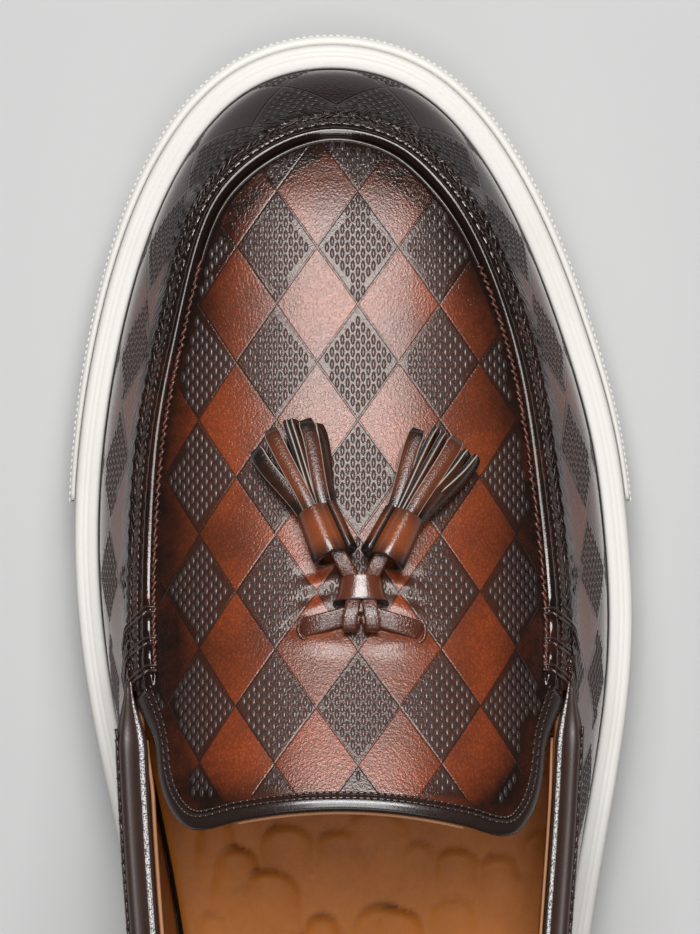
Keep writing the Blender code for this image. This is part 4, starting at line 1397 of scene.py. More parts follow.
def make_upper(net):
    made = new_object("leather_upper", net.points, net.faces, [LEATHER], closed=False)
    mesh = made.data
    for label, values in net.numbers.items():
        store_numbers(mesh, label, values)
    corners = np.zeros(len(mesh.loops), int)
    mesh.loops.foreach_get("vertex_index", corners)
    mesh.uv_layers.new(name="lozenge").data.foreach_set("uv", net.place[corners].astype(np.float32).ravel())
    shell(made, UPPER_SKIN)
    return made


settle(make_upper(UPPER_NET), "upper_leather", "upper")

# %% [markdown]
# ## The lining
# A lining is pasted inside the leather, its tan painted browner and darker as the shade inside the shoe. It
# follows the same last more coarsely, 1.8 mm further in, with no seam relief, so that a look into the shoe
# meets a clean inner wall. It is the same net function with other numbers, moved along its own normals.

# %% Lining
LINING_PAINTED_SHADE = plain_leather("lining_tan_painted_shade", (0.36, 0.165, 0.065, 1.0), (0.18, 0.07, 0.025, 1.0), amount=0.2)
LINING_DEPTH = 1.8
LINING_SKIN = 0.85


def make_lining():
    net = leather_net(front=60, back=80, shares=np.linspace(0.0, 1.0, 12), seam=((3.8, -0.3), (6.0, 0.0)),
                      crest=1, cells=22, tongue_steps=8, detail=0.0)
    made = new_object("lining", net.points, net.faces, [LINING_PAINTED_SHADE], closed=False)
    normals = np.zeros(len(net.points) * 3, np.float32)
    made.data.vertex_normals.foreach_get("vector", normals)
    moved = net.points * MM - normals.reshape(-1, 3) * LINING_DEPTH * MM
    made.data.vertices.foreach_set("co", moved.astype(np.float32).ravel())
    shell(made, LINING_SKIN)
    return made


settle(make_lining(), "footbed")

# %% [markdown]
# ## Stamped seeds
# Every other lozenge is filled with upright oval seeds in staggered columns, each standing in the rough
# trough that its stamp pressed, painted near black as the groove's shade. A lattice is laid on the flat
# leather, and the points that fall well inside a stamped lozenge are kept. The sum here is the same as in
# the leather's nodes, so seeds and borders agree.

# %% Seeds
# The seeds' brown, lighter than the stamped ground, is partly their own tone and partly a painted highlight
SEED_TONE_AND_HIGHLIGHT = (0.095, 0.036, 0.026, 1.0)
TROUGH_PAINTED_SHADE = (0.004, 0.003, 0.003, 1.0)
SEED_COLUMN = 0.98
SEED_ROW = 2.4
SEED_MARGIN = 0.055
SEED_SIZES = {"Half width": 0.34, "Half length": 0.92, "Height": 0.12, "Trough width": 0.45,
              "Trough length": 1.06}


def seed_finish():
    material, tree, shader, place = finish("seed_leather", Specular_IOR_Level=0.6)
    trough = attribute(tree, "trough")
    # The trough is painted near black as the shade of the groove round each seed
    bare = mixed(tree, trough, SEED_TONE_AND_HIGHLIGHT, TROUGH_PAINTED_SHADE)
    amount = maths(tree, "MULTIPLY", attribute(tree, "wax"), 0.85)
    feed(tree, placed(tree, BURNISH, Colour=bare, Dark=WAX_BLACK, Amount=amount, Place=place),
         shader.inputs["Base Color"])
    feed(tree, maths(tree, "ADD", maths(tree, "MULTIPLY", trough, 0.4), 0.28), shader.inputs["Roughness"])
    bump(tree, shader, cloud(tree, place, 0.35, 2.0), 0.04)
    return material


def stamped_lattice(width, length):
    """Staggered places on a width by length of flat leather."""
    i, j = np.meshgrid(np.arange(int(width / SEED_COLUMN)), np.arange(int(length / SEED_ROW)), indexing="ij")
    across = (i * SEED_COLUMN).ravel()
    along = (j * SEED_ROW + (i % 2) * SEED_ROW / 2.0).ravel()
    return across, along


def in_stamped(across, along):
    """True well inside a stamped lozenge."""
    u = across / LOZENGE_WIDTH
    v = along / LOZENGE_LENGTH
    cell = (np.floor(u + v) + np.floor(u - v)) % 2
    edge = np.maximum(np.abs((u + v) % 1.0 - 0.5), np.abs((u - v) % 1.0 - 0.5))
    return (cell == 1) & (edge < 0.5 - SEED_MARGIN)


print("seeds every %.2f by %.2f mm" % (SEED_COLUMN, SEED_ROW))

# %% [markdown]
# ## Seeds on the apron
# The lattice is laid over the flat apron, and each place is carried back to the last by undoing the crown's
# stretch in a few rounds. Only seeds well inside the border of seam and tongue are kept, which needs the
# distance of a point from a closed outline.

# %% Apron seeds
APRON_BREADTH = 84.0
COLUMNS_TO_MIDDLE = 43
# Where the tongue's edge leaves the seam on either side
TONGUE_THROAT = ((-38.0, 22.0), (38.0, 22.0))
TONGUE_BEHIND = 18.0
SEAM_CLEAR = 0.7
TONGUE_CLEAR = 3.6


def outline_gap(points, outline):
    """Distance inside a closed outline, negative outside."""
    run = np.roll(outline, -1, axis=0) - outline
    best = np.full(len(points), 1e9)
    inside = np.zeros(len(points), bool)
    for (x0, y0), (dx, dy) in zip(outline, run):
        t = np.clip(((points[:, 0] - x0) * dx + (points[:, 1] - y0) * dy) / (dx * dx + dy * dy), 0.0, 1.0)
        best = np.minimum(best, np.hypot(points[:, 0] - x0 - t * dx, points[:, 1] - y0 - t * dy))
        crosses = (y0 > points[:, 1]) != (y0 + dy > points[:, 1])
        with np.errstate(divide="ignore", invalid="ignore"):
            inside ^= crosses & (points[:, 0] < x0 + dx * (points[:, 1] - y0) / dy)
    return np.where(inside, best, -best)


def tongue_line(count):
    """Plan of the tongue's edge from the inner throat round its end to the outer one."""
    inner = [row[1:3] for row in TONGUE_EDGE]
    outer = [row[3:5] for row in TONGUE_EDGE]
    end = []
    for share in np.linspace(0.0, 1.0, 9)[1:-1]:
        spot = np.array(inner[-1]) + (np.array(outer[-1]) - np.array(inner[-1])) * share
        end.append((spot[0], spot[1] + TONGUE_BOW * (1.0 - (2.0 * share - 1.0) ** 2)))
    return flow([TONGUE_THROAT[0]] + inner + end + outer[::-1] + [TONGUE_THROAT[1]], count)


def apron_seeds():
    """Seeds of the apron and its tongue, clear of their borders."""
    across, along = stamped_lattice(APRON_BREADTH, VAMP_RUN[-1])
    across = across - COLUMNS_TO_MIDDLE * SEED_COLUMN
    keep = in_stamped(across, along)
    across, along = across[keep], along[keep]
    y = np.interp(along, VAMP_RUN, VAMP_Y)
    x = across
    for _ in range(4):
        x = across / crown_stretch(x, y)
    x = x + PATTERN_MIDDLE
    edge_places = np.concatenate([spaced(ROWS - THROAT_ROW, ROWS, 60)[:-1], spaced(0.0, THROAT_ROW, 60)])
    outline = np.vstack([seam_point(edge_places, SEAM_BREADTH, 0.0)[:, :2], tongue_line(40)])
    gap = outline_gap(np.column_stack([x, y]), outline)
    keep = gap > np.where(y < TONGUE_BEHIND, TONGUE_CLEAR, SEAM_CLEAR)
    x, y, gap = x[keep], y[keep], gap[keep]
    points, facing = on_vamp(x, y)
    points[:, 2] += crease_lift(x, y)
    ahead = on_vamp(x, y + STEP)[0] - on_vamp(x, y - STEP)[0]
    return points, facing, unit(ahead), apron_wax(x, y, gap)


APRON_FIELD = apron_seeds()
print("seeds on the apron:", len(APRON_FIELD[0]))

# %% [markdown]
# ## Seeds on the walls, and planting them
# On a wall the lattice runs up from the foot and along from the toe. How far a place has climbed is measured
# on the last itself, so that the rows stay level with the leather. The three fields are then planted with
# the seed tree, and each seed takes the wax of its place.

# %% Wall seeds
WALL_HEIGHT = 64.0
FOOT_CLEAR = 1.6
TOP_CLEAR = 2.4


def wall_seeds(first, last_row, sign):
    """Seeds of one side wall, counted from the toe."""
    fine = np.linspace(first, last_row, 2400)
    along_way = wall_run(fine) * LOZENGE_LENGTH
    order = np.argsort(along_way)
    across, along = stamped_lattice(WALL_HEIGHT, along_way.max())
    keep = in_stamped(across, along)
    across, along = across[keep], along[keep]
    place = np.interp(along, along_way[order], fine[order])
    shares = np.linspace(0.0, 1.0, 41)
    rows = np.stack([wall_point(place, share) for share in shares])
    steps = np.linalg.norm(np.diff(rows, axis=0), axis=2)
    climb = np.vstack([np.zeros(len(place)), np.cumsum(steps, axis=0)])
    fits = (across > FOOT_CLEAR) & (across < climb[-1] - TOP_CLEAR)
    place, across, climb = place[fits], across[fits], climb[:, fits]
    share = np.array([np.interp(a, climb[:, k], shares) for k, a in enumerate(across)])
    points = wall_point(place, share)
    ahead = wall_point(place + ROW_STEP, share) - wall_point(place - ROW_STEP, share)
    up = wall_point(place, share + 0.01) - wall_point(place, share - 0.01)
    return points, unit(np.cross(ahead, up)), unit(sign * ahead), wall_wax(points, share)


SEED_LEATHER = seed_finish()
SEED_FIELDS = (
    ("apron_seeds", APRON_FIELD),
    ("inner_wall_seeds", wall_seeds(0.0, HEEL_ROW, 1.0)),
    ("outer_wall_seeds", wall_seeds(HEEL_ROW, ROWS, -1.0)),
)
for field, (points, facing, along, wax) in SEED_FIELDS:
    settings = {label: value * MM for label, value in SEED_SIZES.items()}
    settings["Finish"] = SEED_LEATHER
    settle(plant(field, SEED_TREE, points, facing, along, settings, numbers=(("wax", wax),)), "upper_leather")

# %% [markdown]
# ## Sewing the seam
# The apron is sewn to the wall by hand. Three rows of thread show: small slanted stitches in the outer
# crease, a running row on the low ridge, and the rope of stitches that pulls the apron's edge against the
# high ridge. The rows are points along the seam for the stitch tree. Small random turns and stretches, drawn
# from a fixed seed, keep the rows from looking machine made.

# %% Seam stitches
THREAD = plain_leather("waxed_thread", (0.036, 0.017, 0.012, 1.0), WAX_BLACK,
                       amount=0.20, grain=0.3, depth=0.02, rough=0.22, coat=0.2)
SEAM_LENGTH = 145
SEAM_END = 0.35
SLANT_SPREAD = 14.0
STITCH_STRETCH = (0.75, 1.15)
# (row, distance inside the wall top, height over the apron, pitch, half length, half width, slant in degrees,
#  where it stops towards the toe)
SEAM_ROWS = (
    ("outer", 0.75, 0.02, 2.2, 1.15, 0.17, 16.0, 140.0),
    ("middle", 2.05, 1.02, 1.6, 0.62, 0.17, 6.0, 140.0),
    ("rope", 5.15, 0.28, 1.6, 1.05, 0.32, -26.0, 104.0),
)
ROPE = plain_leather("rope_thread", (0.090, 0.026, 0.016, 1.0), WAX_BLACK,
                     amount=0.15, grain=0.3, depth=0.02, rough=0.24, coat=0.2)


def slanted(along, facing, degrees):
    """Directions turned about the way they face."""
    side = np.cross(facing, along)
    angle = np.radians(degrees)
    return along * np.cos(angle)[:, None] + side * np.sin(angle)[:, None]


def seam_stitches():
    draw = np.random.default_rng(11)
    fields = []
    for name, inward, raised, pitch, half_length, half_width, slant, foremost in SEAM_ROWS:
        count = int(SEAM_LENGTH / pitch)
        inner = spaced(0.0, THROAT_ROW - SEAM_END, count)
        outer = spaced(ROWS - THROAT_ROW + SEAM_END, ROWS, count)[:-1]
        place = np.concatenate([inner, outer])
        place = place[last(place)[:, 3] < foremost]
        scale = seam_scale(last(place)[:, 3])
        points = seam_point(place, inward, raised * scale)
        ahead = unit(seam_point(place + ROW_STEP, inward, 0.0) - seam_point(place - ROW_STEP, inward, 0.0))
        facing = on_vamp(points[:, 0], points[:, 1])[1]
        turn = draw.uniform(-SLANT_SPREAD, SLANT_SPREAD, len(place))
        turn = slant * np.where(place < HEEL_ROW, 1.0, -1.0) + turn
        stretch = np.column_stack([draw.uniform(*STITCH_STRETCH, len(place)) for _ in range(3)])
        fields.append((name, points, facing, slanted(ahead, facing, turn), half_length, half_width, stretch))
    return fields


for name, points, facing, along, half_length, half_width, stretch in seam_stitches():
    settings = {"Half width": half_width * MM, "Half length": half_length * MM, "Height": half_width * MM,
                "Finish": ROPE if name == "rope" else THREAD}
    made = plant("seam_stitches_" + name, STITCH_TREE, points, facing, along, settings, stretch)
    settle(made, "upper_leather")

# %% [markdown]
# ## Whipped threads
# At each end of the seam three doubled threads are whipped over it, and slant back down the wall. A thread is
# a tube swept along a smooth curve through points on the seam's own surface. The stitch tree could not do
# this, because a thread bends over the ridge.

# %% Whipped threads
THREAD_SIT = 0.12
THREAD_HALF = (0.32, 0.25)
WHIP_PAIR = (-0.45, 0.5)
WHIP_SLIP = 0.05
# Ways of a thread: (distance inside the wall top, slips back), then (share of the wall, slips back)
WHIP_OVER = ((5.6, 0), (4.7, 0), (3.8, 0), (3.0, 1), (2.1, 2), (1.2, 3), (0.5, 4))
WHIP_DOWN = ((0.95, 6), (0.88, 9), (0.82, 11))


def seam_height(inward, y):
    """Height of the seam's own surface."""
    profile = np.array(SEAM_PROFILE)
    return np.interp(inward, profile[:, 0], profile[:, 1]) * seam_scale(y)


def whip_threads():
    """Doubled threads over the seam's ends, slanting back down the wall."""
    parts = []
    for first, sign in ((0.0, 1.0), (float(ROWS), -1.0)):
        side_rows = np.linspace(first + sign * 6.0, first + sign * THROAT_ROW, 400)
        side_y = last(side_rows)[:, 3]
        for spot in WHIP_PLACES:
            for shift in WHIP_PAIR:
                place = np.interp(-(spot + shift), -side_y, side_rows)
                slip = sign * WHIP_SLIP
                way = []
                for inward, steps in WHIP_OVER:
                    at = np.array([place + steps * slip])
                    way.append(seam_point(at, inward, seam_height(inward, last(at)[:, 3]) + THREAD_SIT)[0])
                for share, steps in WHIP_DOWN:
                    at = np.array([place + steps * slip])
                    way.append(wall_point(at, share)[0] + np.append(outward(at, 0)[0], 0.4) * THREAD_SIT)
                path = flow(way, 40)
                parts.append(bar(path, np.tile((0.0, 0.05, 1.0), (40, 1)), oval(*THREAD_HALF, 8)))
    return joined(parts)


settle(new_object("whip_threads", *whip_threads(), [THREAD]), "upper_leather")

# %% [markdown]
# ## The padded collar
# The topline is a soft roll of dark leather over foam, with a low flange outside it, a piping on its inner
# side whose glint is a painted highlight of pale speckles, and the cut edge of the lining beyond. Each is a
# section carried along the top of the wall from one end of the seam round the heel to the other, a little
# broader on the shoe's inner side. The roll's section is a short closed table, smoothed by the same spline
# as the last.

# %% Collar
BINDING = plain_leather("polished_binding", (0.020, 0.011, 0.009, 1.0), WAX_BLACK,
                        amount=0.30, grain=0.7, depth=0.012, rough=0.24, coat=0.3)
PADDING = plain_leather("padded_collar", (0.040, 0.021, 0.016, 1.0), WAX_BLACK,
                        amount=0.15, grain=0.7, depth=0.012, rough=0.40)
CUT_TAN = plain_leather("cut_lining_edge", (0.42, 0.20, 0.095, 1.0), (0.22, 0.085, 0.03, 1.0),
                        amount=0.25, grain=0.6, depth=0.05, rough=0.6)
COLLAR_STATIONS = 280
COLLAR_START = -0.12
COLLAR_ENDS = 0.035
COLLAR_SHRINK = 0.75
EDGE_START = 0.42
EDGE_ENDS = 0.03
# Sections from the wall top: (inward, up)
ROLL_SECTION = ((-0.2, 0.35), (-1.8, 0.6), (-2.75, 1.2), (-2.85, 1.9), (-2.3, 2.5), (-2.1, 3.3), (-1.95, 4.2),
                (-1.5, 4.8), (-0.8, 5.0), (-0.1, 4.92), (0.55, 4.6), (1.05, 4.1), (1.8, 3.9), (2.45, 3.5),
                (2.5, 2.2), (2.2, 1.0), (1.2, 0.4))
FLANGE = (-2.5, 2.25)
PIPE_CENTRE = (1.7, 4.75)
PIPE_RADIUS = 0.40
EDGE_SECTION = ((2.45, -5.0), (3.15, -5.0), (3.35, 3.6), (3.33, 4.5), (3.2, 4.7), (2.95, 4.68), (2.82, 4.5),
                (2.7, 3.0))
# The inner side's collar is broader towards the foot by this share
INNER_BREADTH = 0.26


def piping_finish():
    """A dark glossy cord with its highlight painted in as pale grey speckles."""
    material, tree, shader, place = finish(
        "piping_painted_highlight", Coat_Weight=0.5, Coat_Roughness=COAT_ROUGHNESS, Roughness=0.3)
    speckle = cloud(tree, place, 0.32, 1.0)
    # Pale speckles on dark: a painted highlight along the cord
    shade = mixed(tree, ranged(tree, speckle, 0.38, 0.58), (0.10, 0.085, 0.08, 1.0), (0.62, 0.60, 0.59, 1.0))
    feed(tree, shade, shader.inputs["Base Color"])
    bump(tree, shader, speckle, 0.2)
    return material


PIPING_PAINTED_HIGHLIGHT = piping_finish()


def collar_line(place):
    top = last(place)[:, 2:5]
    inward = np.column_stack([-outward(place, 2), np.zeros(len(place))])
    up = np.tile((0.0, 0.0, 1.0), (len(place), 1))
    return top, inward, up


def collar_sweep(start, ends, section, shrink):
    """A section round the collar that sinks, and may shrink, over its ends."""
    place = spaced(THROAT_ROW + start, ROWS - THROAT_ROW - start, COLLAR_STATIONS)
    top, inward, up = collar_line(place)
    run = np.linspace(0.0, 1.0, len(place))
    whole = fade(np.minimum(run, 1.0 - run), 0.0, ends)
    sections = np.asarray(section)[None] * (1.0 - shrink * (1.0 - whole))[:, None, None]
    broad = 1.0 + INNER_BREADTH * whole * fade(top[:, 0], 15.0, -15.0)
    sections[..., 0] *= np.where(sections[..., 0] > 0.0, broad[:, None], 1.0)
    sink = 0.0 if shrink else 4.0 * (1.0 - whole)
    return sweep(top - up * np.reshape(sink, (-1, 1)), inward, up, sections)


def make_collar():
    smooth = closed_spline(ROLL_SECTION)(np.linspace(0.0, len(ROLL_SECTION), 38, endpoint=False))
    roll = collar_sweep(COLLAR_START, COLLAR_ENDS, smooth, COLLAR_SHRINK)
    pipe_section = oval(PIPE_RADIUS, PIPE_RADIUS, 12, PIPE_CENTRE)
    pipe = collar_sweep(COLLAR_START, COLLAR_ENDS, pipe_section, COLLAR_SHRINK)
    edge = collar_sweep(EDGE_START, EDGE_ENDS, EDGE_SECTION, 0.0)
    return (new_object("collar_padding", *roll, [PADDING]),
            new_object("collar_piping", *pipe, [PIPING_PAINTED_HIGHLIGHT]),
            new_object("lining_edge", *edge, [CUT_TAN]))


for made in make_collar():
    settle(made, "binding", "collar_roll")

# %% [markdown]
# ## Stitches on the collar's flange
# The flange under the roll is sewn down with coarse thread, and hand work never lies quite straight. Each
# stitch is turned by a small random angle. The random numbers start from a fixed seed, so the row comes out
# the same on every run.

# %% Collar stitches
FLANGE_END = 0.35
FLANGE_STITCHES = 190
FLANGE_SLANT = 20.0


def collar_stitches():
    """An uneven row of thread on the flange under the roll."""
    draw = np.random.default_rng(5)
    place = spaced(THROAT_ROW + FLANGE_END, ROWS - THROAT_ROW - FLANGE_END, FLANGE_STITCHES)
    top, inward, up = collar_line(place)
    points = top + inward * FLANGE[0] + up * FLANGE[1]
    facing = unit(0.8 * up - inward)
    turn = draw.uniform(-FLANGE_SLANT, FLANGE_SLANT, len(place))
    along = slanted(unit(np.gradient(points, axis=0)), facing, turn)
    settings = {"Half width": 0.36 * MM, "Half length": 0.9 * MM, "Height": 0.28 * MM, "Finish": THREAD}
    return plant("collar_stitches", STITCH_TREE, points, facing, along, settings)


settle(collar_stitches(), "binding")

# %% [markdown]
# ## The tongue's edge
# The tongue ends in a rolled dark edge, sewn down with a double row, and the lining's cut edge peeps out
# under its end. The roll follows the tongue's own line on the vamp, so it is a sweep with an oval section.
# One row of stitches lies on that line, and the other just inside it.

# %% Tongue edge
TONGUE_STITCHES = 92
BIND_CENTRE = 0.45
BIND_HALF = (1.85, 1.15)
TONGUE_DEPTH = 0.9
# Stitch rows: (distance outside the leather's edge, height)
TONGUE_ROWS = ((-1.05, 0.14), (0.0, 0.29))


def tongue_frame(count):
    """Path on the tongue's edge, level outward directions and directions off the leather."""
    plan = tongue_line(count)
    along = unit(np.gradient(plan, axis=0))
    path, away = on_vamp(plan[:, 0], plan[:, 1])
    out = np.column_stack([along[:, 1], -along[:, 0], np.zeros(count)])
    out = unit(out - away * np.sum(out * away, axis=1)[:, None])
    return path, out, away


def make_tongue_edge():
    path, out, away = tongue_frame(170)
    run = np.linspace(0.0, 1.0, len(path))
    widen = 1.0 + 0.7 * fade(np.minimum(run, 1.0 - run), 0.085, -0.01)
    section = oval(*BIND_HALF, 18, (BIND_CENTRE, -TONGUE_DEPTH), 0.9)[None] * np.ones((len(path), 1, 1))
    section[..., 0] *= widen[:, None]
    roll = new_object("tongue_binding_roll", *sweep(path, out, away, section), [BINDING])
    end = slice(52, 118)
    strip = oval(0.6, 0.4, 12, (1.95, -TONGUE_DEPTH - 0.95), 0.8)
    edge = new_object("tongue_lining_edge", *sweep(path[end], out[end], away[end], strip), [CUT_TAN])
    return roll, edge


for made in make_tongue_edge():
    settle(made, "binding", "tongue_binding")

for number, (beyond, raised) in enumerate(TONGUE_ROWS):
    path, out, away = tongue_frame(TONGUE_STITCHES)
    points = path + out * beyond + away * raised
    along = unit(np.gradient(points, axis=0))
    settings = {"Half width": 0.24 * MM, "Half length": 0.66 * MM, "Height": 0.24 * MM, "Finish": THREAD}
    made = plant("tongue_stitches_%d" % (number + 1), STITCH_TREE, points, away, along, settings)
    settle(made, "upper_leather")

# %% [markdown]
# ## The thong
# A flat leather thong comes out of two slits, folds into two loops and is gathered by a small band, then
# runs on into the tassels. Each strand is a strap with rounded edges through a few given points that stand
# off the vamp. A cloth simulation could fold it too, but given points keep the knot in place.

# %% Thong
THONG = plain_leather("thong_leather", (0.120, 0.032, 0.015, 1.0), (0.012, 0.007, 0.006, 1.0),
                      amount=0.35, grain=0.75, depth=0.13, rough=0.14, coat=0.2)
KNOT_X = 2.0
# (strand, half width, half thickness, points of x, y, height above the vamp)
STRANDS = (
    ("inner strap", 1.75, 0.55, ((-8.9, 33.5, -0.5), (-7.6, 33.9, 0.55), (-5.0, 34.4, 1.05),
                                 (-1.6, 35.3, 1.2), (1.6, 36.4, 1.1))),
    ("outer strap", 1.75, 0.55, ((13.0, 33.0, -0.5), (11.7, 33.4, 0.55), (9.0, 34.1, 1.05),
                                 (5.6, 35.1, 1.2), (2.4, 36.4, 1.1))),
    ("inner loop", 1.4, 0.5, ((0.9, 40.0, 2.6), (0.5, 37.2, 3.3), (0.1, 34.6, 3.2), (-0.1, 33.1, 2.5),
                              (0.0, 32.9, 1.5), (0.4, 34.0, 0.9), (0.9, 36.0, 0.9))),
    ("outer loop", 1.4, 0.5, ((3.1, 40.0, 2.6), (3.5, 37.2, 3.3), (3.9, 34.6, 3.2), (4.1, 33.1, 2.5),
                              (4.0, 32.9, 1.5), (3.6, 34.0, 0.9), (3.1, 36.0, 0.9))),
    ("inner end", 1.45, 0.55, ((1.0, 39.5, 2.4), (0.4, 41.8, 2.9), (-1.2, 44.4, 4.2), (-2.9, 47.2, 5.0))),
    ("outer end", 1.45, 0.55, ((3.0, 39.5, 2.4), (3.6, 41.6, 2.9), (4.8, 43.9, 4.2), (6.2, 46.6, 5.0))),
    ("core", 2.5, 0.9, ((KNOT_X, 36.0, 1.3), (KNOT_X, 39.0, 1.6), (KNOT_X, 42.4, 1.5))),
)


def make_thong():
    parts = []
    for name, half_width, half_thick, places in STRANDS:
        path = flow(places, 30)
        points = on_vamp(path[:, 0], path[:, 1], path[:, 2])[0]
        along = unit(np.gradient(points, axis=0))
        side = np.array((1.0, 0.0, 0.0)) if "strap" not in name else np.array((0.0, 1.0, 0.0))
        side = unit(side - along * (along @ side)[:, None])
        up = np.cross(side, along)
        parts.append(sweep(points, side, up, oval(half_width, half_thick, 16, square=0.45)))
    return new_object("tassel_thong", *joined(parts), [THONG])


settle(make_thong(), "thong", "tassel_tie")

# %% [markdown]
# ## The band
# A short band of redder leather holds the loops together. It is a thick half barrel over the knot, wider
# towards the heel: rows of an outer and an inner arch, joined into closed loops. Its cut edges are raw and
# dark, so they get a finish of their own.

# %% Band
BAND = plain_leather("band_leather", (0.125, 0.032, 0.014, 1.0), (0.012, 0.007, 0.006, 1.0),
                     amount=0.25, grain=0.6, depth=0.03, rough=0.20, coat=0.3)
RAW_EDGE = plain_leather("raw_edge", (0.016, 0.012, 0.011, 1.0), WAX_BLACK,
                         amount=0.2, grain=0.5, depth=0.10, rough=0.40, coat=0.2)
KNOT_Y = 39.9
BAND_HALF = 4.25
BAND_RISE = 4.3
BAND_LENGTH = 4.4
BAND_THICK = 0.95
# (share of the half length from the middle, share of the half width)
BAND_ROWS = ((-1.0, 1.20), (-0.93, 1.23), (-0.6, 1.10), (0.0, 1.02), (0.6, 0.97), (0.95, 0.95), (1.0, 0.92))


def make_band():
    """A barrel over the knot: rows along its length, a closed arch of leather thickness across."""
    outer_rows = []
    inner_rows = []
    for step, grow in BAND_ROWS:
        angle = np.linspace(0.0, math.pi, 25)
        for rows, thick in ((outer_rows, 0.0), (inner_rows, BAND_THICK)):
            x = KNOT_X - (BAND_HALF * grow - thick) * np.cos(angle)
            lift = 0.15 + (BAND_RISE * (1.28 - 0.26 * grow) - thick) * np.sin(angle) ** 0.6
            rows.append(on_vamp(x, np.full(25, KNOT_Y + step * BAND_LENGTH / 2.0), lift)[0])
    loops = [np.vstack([a, b[::-1]]) for a, b in zip(outer_rows, inner_rows)]
    size = len(loops[0])
    numbers = np.arange(len(loops) * size).reshape(-1, size).tolist()
    faces = quads(numbers, True)
    indices = [0] * len(faces)
    for row in (numbers[0], numbers[-1]):
        for k in range(24):
            faces.append([row[k], row[k + 1], row[size - 2 - k], row[size - 1 - k]])
            indices.append(1)
    for k in range(size):
        indices[k] = 1
    return new_object("tassel_band", np.vstack(loops), faces, [BAND, RAW_EDGE], indices=indices)


settle(make_band(), "thong", "knot_band")

# %% [markdown]
# ## The slits
# Where the thong comes out, the leather is pressed up into a small lip round each slit. A lip is a thin bar
# along part of an oval, thickest in its middle. It rides on the upper, because it is the upper's leather.

# %% Slits
SLIT_HALF = (1.35, 2.1)
# (centre x, y, first and last angle of its lip)
SLITS = ((-8.2, 33.7, 70.0, 285.0), (12.6, 33.1, -105.0, 110.0))


def make_lips():
    parts = []
    for x, y, start, end in SLITS:
        angle = np.radians(np.linspace(start, end, 28))
        path, away = on_vamp(x + SLIT_HALF[0] * np.cos(angle), y + SLIT_HALF[1] * np.sin(angle), 0.1)
        thick = 0.10 + 0.34 * np.sin(np.linspace(0.0, math.pi, 28)) ** 0.7
        parts.append(bar(path, away, oval(1.0, 1.0, 8)[None] * thick[:, None, None]))
    return new_object("slit_lips", *joined(parts), [THONG])


settle(make_lips(), "upper_leather")

# %% [markdown]
# ## The tassel's cap
# A tassel is one piece of leather: cut into strips along one side, then rolled up into a cap. The roll's
# free edge shows as a spiral on the inner side. The cap is therefore a spiral section carried along its
# axis, with a dark core inside. A plain cylinder would lose that edge.

# %% Tassel cap
TASSEL = plain_leather("tassel_leather", (0.215, 0.052, 0.017, 1.0), (0.014, 0.007, 0.005, 1.0),
                       amount=0.05, grain=0.6, depth=0.055, rough=0.25, coat=0.35, marks="wax")
CAP_LENGTH = 9.7
CAP_RADIUS = 4.1
CAP_WALL = 1.05
CAP_OVERLAP = 75.0
CAP_SEAM = 42.0
CAP_TURNS = 64
CORE_RADIUS = CAP_RADIUS - 1.6
# Side of the cap: (way from its mouth, share of the radius)
CAP_SIDE = ((0.0, 1.03), (0.12, 1.06), (0.35, 1.075), (3.0, 1.04), (6.5, 1.0), (CAP_LENGTH - 0.3, 0.97),
            (CAP_LENGTH - 0.08, 0.96), (CAP_LENGTH, 0.94))


def cap_part(direction):
    """The rolled cap, a spiral of leather, with a core inside: points, faces, finishes, and wax with painted
    shade on the flanks.
    """
    overlap = math.radians(CAP_OVERLAP)
    turn = np.linspace(0.0, 2.0 * math.pi + overlap, CAP_TURNS)
    radius = CAP_RADIUS - 1.05 * CAP_WALL * (1.0 - fade(turn, overlap, overlap + math.radians(60.0)))
    angle = math.radians(CAP_SEAM) - overlap + turn
    round_out = np.column_stack([np.cos(angle) * direction, np.sin(angle)])
    section = np.vstack([round_out * radius[:, None], (round_out * (radius - CAP_WALL)[:, None])[::-1]])
    along = np.array([row[0] for row in CAP_SIDE])
    grow = np.array([row[1] for row in CAP_SIDE])
    path = np.column_stack([0.0 * along, along, 0.0 * along])
    side = np.tile((1.0, 0.0, 0.0), (len(along), 1))
    up = np.tile((0.0, 0.0, 1.0), (len(along), 1))
    points, faces = sweep(path, side, up, section[None] * grow[:, None, None])
    faces = faces[:-2]
    size = len(section)
    indices = [2 if k % size == CAP_TURNS - 1 else 0 for k in range(len(faces))]
    for first in (0, len(points) - size):
        for k in range(CAP_TURNS - 1):
            faces.append([first + k, first + k + 1, first + size - 2 - k, first + size - 1 - k])
            indices.append(2)
    ends = fade(points[:, 1], 2.0, 0.2) * 0.75 + fade(points[:, 1], 7.6, CAP_LENGTH) * 0.55
    # The flanks are darkened as painted shade of the round cap; the darker ends are its burnished leather.
    wax = ends + fade(np.abs(points[:, 0]), 2.4, 4.2) * 0.45
    core = sweep(path[[3, -1]], side[:2], up[:2], oval(CORE_RADIUS, CORE_RADIUS, 20))
    points, faces = joined([(points, faces), core])
    return points, faces, indices + [2] * len(core[1]), np.append(wax, np.ones(len(core[0])))


print("cap %.1f mm long" % CAP_LENGTH)

# %% [markdown]
# ## The tassel's strips
# Each strip is a strap with sharp arrises, bevelled in the section itself. Its cut edges stay paler than the
# dyed face, so the faces of one strip carry three finishes: face, cut arris and raw edge. A Bevel modifier
# would round the arrises, but could not tell the three apart so simply.

# %% Tassel strips
CUT_EDGE = plain_leather("cut_strip_edge", (0.42, 0.34, 0.29, 1.0), (0.12, 0.09, 0.075, 1.0),
                         amount=0.25, grain=0.4)
STRIP_HALF = 1.6
STRIP_THICK = 0.5
ARRIS = 0.17
STRIP_ROOT = 2.0


